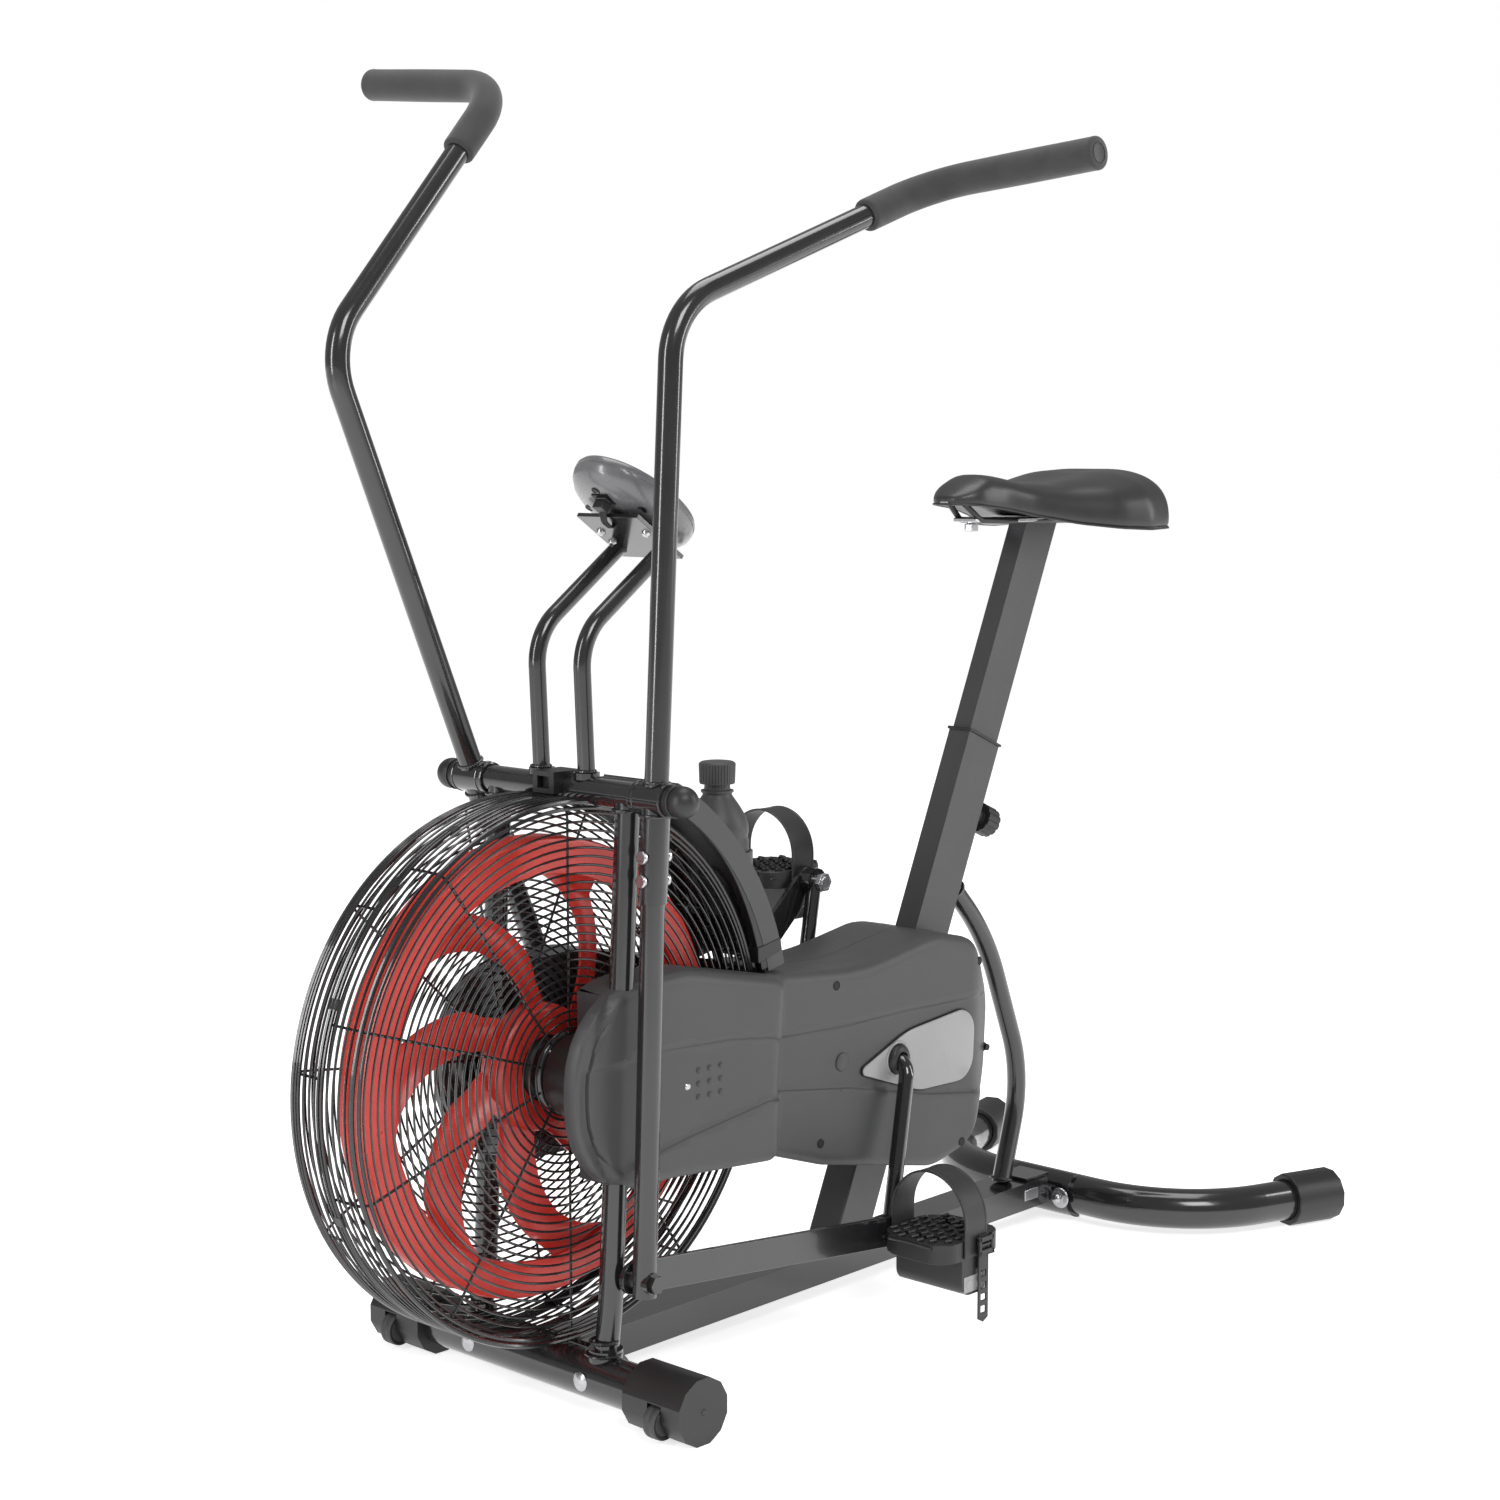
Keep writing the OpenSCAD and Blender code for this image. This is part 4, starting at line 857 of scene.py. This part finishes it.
def console():
    prof = [(0.001, -21.5), (0.3, -21.3), (0.6, -20.4), (0.8, -18), (0.91, -14), (0.975, -8.5), (1.0, -2.5),
            (1.0, -1.6), (0.992, -1.2), (0.992, -0.4), (1.0, 0), (0.995, 3.5), (0.965, 6.4), (0.92, 7.8),
            (0.87, 8), (0.83, 7.2), (0.78, 5.6), (0.001, 5.2)]
    seg = 96
    a = Acc()
    turn = [2 * math.pi * k / seg for k in range(seg)]
    v = [(CON_A * r * math.cos(g), CON_B * r * math.sin(g), up) for r, up in prof for g in turn]
    f = [(i * seg + k, i * seg + (k + 1) % seg, (i + 1) * seg + (k + 1) % seg, (i + 1) * seg + k)
         for i in range(len(prof) - 1) for k in range(seg)]
    o = make(a.add(v, f), "console_shell", "console_grey", "frame", at=CON, angle=40)
    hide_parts("console_case")
    fr = Acc()
    loop = resample(rounded([(-36.5, -28.5, 6), (-36.5, 28.5, 6), (12.5, 28.5, 6), (12.5, -28.5, 6)], 6), 2.0)
    sweep(fr, [(x, y, 6.6) for x, y in loop], 2.6, seg=10, closed=True)
    for yy in (-19, 19):
        lathe(fr, [(0, 2.6), (4, 2.4), (5, 1.2), (5.2, -1)], (38, yy, 5.2), (0, 0, 1), 28)
    make(fr, "console_bezel", "black_plastic", "frame", at=CON, fix=False)
    d = Acc()
    for x, y in ((-46, 0), (-16, 35), (-16, -35), (38, 23), (38, -23)):
        r = math.hypot(x / CON_A, y / CON_B)
        hh = np.interp(r, [p[0] for p in prof[:6]], [p[1] for p in prof[:6]])
        ring(d, (x, y, hh - 0.1), 3.9, 0.7, w=(0, 0, 1), seg=24)
        lathe(d, [(0, -0.35), (3.8, -0.35), (3.9, 1)], (x, y, hh), (0, 0, 1), 24)
    block(d, (-42, -11, -21.6), (-27, 9, -20))
    make(d, "console_back_recesses", "dark_screw", "frame", at=CON, fix=False)
    s = Acc()
    block(s, (-40, -9, -23.4), (-31, 4, -21.3))
    block(s, (-37, -6, -31), (-27, 7, -22))
    make(s, "console_plug", "black_plastic", "frame", at=CON, bevel=0.8)
    w = Acc()
    for k in range(4):
        y = -3 + 2.6 * k
        route = [(-31, y, -27), (-21, y * 0.7, -37), (-9, y * 0.5 + 2, -36), (-5, y * 0.4, -24)]
        pts = bent(route, [6, 5], 1.5)
        sweep(w, pts, 1.1, seg=8)
    make(w, "console_wires", "black_plastic", "frame", at=CON)
    rv = Acc()
    for sd in (LEFT, RIGHT):
        for x in (4, 22):
            lathe(rv, [(0, -3), (3.2, -2.4), (4.6, 0), (4.6, 1)], (x, sd * 30, -32.4), (0, 0, 1), 20)
    make(rv, "console_bracket_rivets", "zinc", "frame", at=CON, fix=False)


console()


# ---------- pedals and straps ----------
def pedal(side):
    px, pz = crank_pin(side)
    at = Matrix.Translation((px, 0, pz)) @ Matrix.Diagonal((1, side, 1, 1))
    s = "left" if side == LEFT else "right"
    body = s + "_pedal_body"
    base = soften(s + "_pedal", "black_plastic", 1.6)
    t = Acc()
    for j, y in enumerate(np.linspace(124, 193, 7)):
        for i, x in enumerate(np.linspace(-38, 38, 6)):
            if abs(x) > 34 and not 126 < y < 192:
                continue
            x2 = x + (3 if j % 2 else -3)
            chevron = [(x2 - 4.6, y - 2.4, 11.2), (x2, y + 0.6, 12.0), (x2 + 4.6, y - 2.4, 11.2)]
            sweep(t, chevron, [2.0, 2.5, 2.0], seg=10)
    for x in (-46.4, 46.4):
        sweep(t, [(x, 134, 8.5), (x, 160, 9.4), (x, 188, 8.5)], 2.6, seg=10)
    make(t, s + "_pedal_tread", "black_plastic", body, at=at)
    r = Acc()
    for x in (-1, 1):
        lathe(r, [(0, 1.2), (4.6, 1), (5.4, 0), (5.4, -1)], (0 + 8 * x, 202.7, -33), (0, 1, 0), 24)
    block(r, (-16, 199, -41), (16, 203.4, -25))
    o = make(r, s + "_pedal_reflector", "silver_badge", body, at=at, fix=False)
    e = Acc()
    for yy in (120.5, 196):
        sweep(e, [(-40, yy, 4), (-15, yy + 0.4, 5), (15, yy + 0.4, 5), (40, yy, 4)], 1.4, seg=8)
    make(e, s + "_pedal_rims", "black_plastic", body, at=at)
    # strap: one band over the foot, then the punched tail below the buckle
    mid, rr, top = 158.15, 46.15, 26
    path = [Vector((0, 112, -6)), Vector((0, 112, top * 0.5)), Vector((0, 112, top))]
    turn = np.radians(np.linspace(6, 174, 30))
    path += [Vector((0, mid - rr * math.cos(g), top + rr * math.sin(g))) for g in turn]
    path += [Vector((0, mid + rr, top)), Vector((0, mid + rr, top * 0.5)), Vector((0, mid + rr, -6))]
    sec = [(-17, -0.5), (-16.4, -1.1), (-14.6, -1.1), (-14, -0.6), (14, -0.6), (14.6, -1.1), (16.4, -1.1),
           (17, -0.5), (17, 0.5), (16.4, 1.0), (-16.4, 1.0), (-17, 0.5)]
    b = Acc()
    sweep(b, path, 1, section=sec, up=(1, 0, 0))
    y0, y1 = mid + rr + 1.0, mid + rr + 3.0
    for x0, x1 in ((2, 5.6), (13.4, 17)):
        block(b, (x0, y0, -70), (x1, y1, 14))
    for zz in (-70, -57.5, -45.5, -33.5, -21.5):
        block(b, (5, y0, zz), (14, y1, zz + 5.5))
    block(b, (5, y0, -16), (14, y1, 14))
    b.add([(2, y0, -70), (17, y0, -70), (9.5, y0, -74), (2, y1, -70), (17, y1, -70), (9.5, y1, -74)],
          [(0, 1, 2), (3, 5, 4), (0, 3, 4, 1), (1, 4, 5, 2), (2, 5, 3, 0)])
    o = make(b, s + "_strap_band", "strap_rubber", body, at=at, bevel=0.35, seg=1)
    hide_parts(s + "_strap")
    k = Acc()
    for lo, hi in (((-1, y1 - 0.4, 8), (21, y1 + 3.6, 13)), ((-1, y1 - 0.4, -5), (21, y1 + 3.6, 0)),
                   ((-1, y1 - 0.4, -5), (2.4, y1 + 3.6, 13)), ((17.6, y1 - 0.4, -5), (21, y1 + 3.6, 13)),
                   ((1, y1 - 0.2, 2.6), (19, y1 + 2.6, 5.6))):
        block(k, lo, hi)
    make(k, s + "_strap_buckle", "black_plastic", body, at=at, bevel=0.9)


pedal(LEFT)
pedal(RIGHT)


# ---------- wind guard trim, wheels, small plates ----------
def guard():
    g = soften("wind_guard", "grey_plastic", 2.2, seg=3)
    a = Acc()
    for side in (LEFT, RIGHT):
        outer, inner = [], []
        for d in np.linspace(13.5, 60, 30):
            t = (d - 13.5) / 46.5
            c, s = math.cos(rad(d)), math.sin(rad(d))
            outer.append((262.4 * c, 303 + 262.4 * s))
            ri = 253.5 + 7.5 * smooth(t * 1.3)
            inner.append((ri * c, 303 + ri * s))
        line = outer + inner[::-1]
        prism(a, line, side * 41, side * 49.6)
    for side in (LEFT, RIGHT):
        c, s = math.cos(rad(17.5)), math.sin(rad(17.5))
        foot = [(252 * c, 303 + 252 * s - 9), (287 * c, 303 + 287 * s - 10), (286 * c - 1, 303 + 286 * s + 2),
                (253 * c - 2, 303 + 253 * s + 6)]
        prism(a, foot, side * 38, side * 51)
    make(a, "guard_inner_band", "black_plastic", "frame", bevel=1.0)


guard()


def small_parts():
    tyre = [(3.3, -7.2), (11, -7.2), (12, -5.6), (15, -7.3), (15.8, -6), (16, -2), (15.4, -1), (15.4, 1),
            (16, 2), (15.8, 6), (15, 7.3), (12, 5.6), (11, 7.2), (3.3, 7.2)]
    for side in (LEFT, RIGHT):
        s = "left" if side == LEFT else "right"
        a = Acc()
        lathe(a, tyre, (-22, side * 180, 20), (0, 1, 0), 48, closed=True)
        o = make(a, s + "_transport_wheel_tyre", "wheel_rubber", s + "_transport_wheel", fix=False)
        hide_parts(s + "_wheel")
    plate = Acc()
    block(plate, (700, -24.2, 33), (724, -22.8, 45))
    block(plate, (700, 22.8, 33), (724, 24.2, 45))
    make(plate, "beam_end_plates", "zinc", "frame", bevel=0.5)
    cap = Acc()
    for side in (LEFT, RIGHT):
        ring(cap, (34, side * 147, 556), 13.9, 1.0, seg=56)
        lathe(cap, [(0, 1.2), (2.2, 1.1), (3, 0.2), (3, -1)], (0, side * 210.6, 30), (0, side, 0), 20)
    make(cap, "cap_rims", "black_plastic", "frame", fix=False)
    leaf = Acc()
    outline = [(38, 569), (96, 560), (120, 545), (118, 542), (92, 556), (38, 565)]
    for side in (LEFT, RIGHT):
        prism(leaf, outline, side * 18, side * 44)
    make(leaf, "mast_foot_leaves", "black_plastic", "frame", bevel=1.0)
    wash = Acc()
    washer = [(9, 0), (11, 0.4), (11.5, 1.6), (11, 2.4), (7, 2.6)]
    rear_face = 780 - 26.2
    for y in (-33, 33):
        lathe(wash, washer, (rear_face, y, 28), (-1, 0, 0), 32)
    make(wash, "rear_bolt_washers", "zinc", "frame", fix=False)


small_parts()

# ---------- CAD nodes kept in shape, with their edges rounded over ----------
for node, slot, width in (
        ("base_beam", "gloss_black", 3.0), ("upright", "grey_tube", 4.0),
        ("seat_tube", "grey_tube", 3.4), ("seat_post", "grey_tube", 2.6),
        ("post_bush", "black_plastic", 1.0), ("rear_bracket", "gloss_black", 1.0),
        ("lead_clip", "black_plastic", 1.6), ("console_bracket", "gloss_black", 1.0),
        ("seat_clamp", "zinc", 0.8), ("left_rod", "gloss_black", 0.9),
        ("right_rod", "gloss_black", 0.9), ("rear_caps", "black_plastic", 2.2),
        ("front_left_cap", "black_plastic", 2.0), ("front_right_cap", "black_plastic", 2.0),
        ("post_knob", "black_plastic", 1.0), ("console_button", "black_plastic", 1.2),
        ("stabiliser_bolts", "zinc", 0.6), ("pedal_spindles", "zinc", 0.5),
        ("left_arm_bolts", "zinc", 1.6), ("right_arm_bolts", "zinc", 1.6),
        ("crank_shell", "gloss_black", 0.8)):
    soften(node, slot, width)

record = frame["record"]
slot_of = {s["node"]: s["material_slot"] for s in record["subparts"]}
for name, o in nodes.items():
    o.data.materials.clear()
    o.data.materials.append(MATS[slot_of[name]])

# ---------- floor, light and camera ----------
fl = bpy.data.meshes.new("floor")
n = 96
floor_r = 60
rim = [(floor_r * math.cos(2 * math.pi * k / n), floor_r * math.sin(2 * math.pi * k / n), 0) for k in range(n)]
fl.from_pydata([(0, 0, 0)] + rim, [], [(0, 1 + k, 1 + (k + 1) % n) for k in range(n)])
floor = bpy.data.objects.new("floor", fl)
bpy.context.scene.collection.objects.link(floor)
paper = bpy.data.materials.new("paper")
paper.use_nodes = True
sheet = paper.node_tree.nodes["Principled BSDF"].inputs
sheet["Base Color"].default_value = (0.92, 0.92, 0.92, 1)
sheet["Roughness"].default_value = 0.75
sheet["Specular IOR Level"].default_value = 0.2
sheet["Emission Color"].default_value = (1, 1, 1, 1)
sheet["Emission Strength"].default_value = 0.7
fl.materials.append(paper)

world = bpy.data.worlds.new("studio")
world.use_nodes = True
world.node_tree.nodes["Background"].inputs["Color"].default_value = (1, 1, 1, 1)
world.node_tree.nodes["Background"].inputs["Strength"].default_value = 0.34
backdrop = world.node_tree.nodes.new("ShaderNodeBackground")
backdrop.inputs["Color"].default_value = (1, 1, 1, 1)
backdrop.inputs["Strength"].default_value = 1.0
seen = world.node_tree.nodes.new("ShaderNodeLightPath")
either = world.node_tree.nodes.new("ShaderNodeMixShader")
world.node_tree.links.new(seen.outputs["Is Camera Ray"], either.inputs[0])
world.node_tree.links.new(world.node_tree.nodes["Background"].outputs[0], either.inputs[1])
world.node_tree.links.new(backdrop.outputs[0], either.inputs[2])
world.node_tree.links.new(either.outputs[0], world.node_tree.nodes["World Output"].inputs["Surface"])
bpy.context.scene.world = world


def area(name, loc, aim, size, power):
    d = bpy.data.lights.new(name, "AREA")
    d.shape = "RECTANGLE"
    d.size, d.size_y = size
    d.energy = power
    o = bpy.data.objects.new(name, d)
    o.location = loc
    o.rotation_euler = (Vector(aim) - Vector(loc)).to_track_quat("-Z", "Y").to_euler()
    bpy.context.scene.collection.objects.link(o)


area("key", (-1.6, -3.0, 3.4), (0, 0, 0.5), (1.6, 1.6), 75)
area("top", (0.4, 0.3, 4.2), (0, 0, 0.4), (2.4, 2.4), 70)
area("strip_left", (-3.4, 0.4, 1.6), (0, 0, 0.6), (0.4, 2.4), 45)
area("strip_right", (2.6, -2.6, 1.8), (0, 0, 0.6), (0.5, 2.4), 40)

cam = bpy.data.objects.new("camera", bpy.data.cameras.new("camera"))
yaw, pitch = rad(43.369), rad(6.586)
look = Vector((math.cos(yaw) * math.cos(pitch), math.sin(yaw) * math.cos(pitch), -math.sin(pitch)))
cam.location = (-1.9661, -1.7753, 0.8677)
cam.rotation_euler = look.to_track_quat("-Z", "Y").to_euler()
cam.data.lens = 63.96
cam.data.sensor_width = 36
bpy.context.scene.collection.objects.link(cam)
bpy.context.scene.camera = cam
bpy.context.scene.view_settings.view_transform = "Standard"
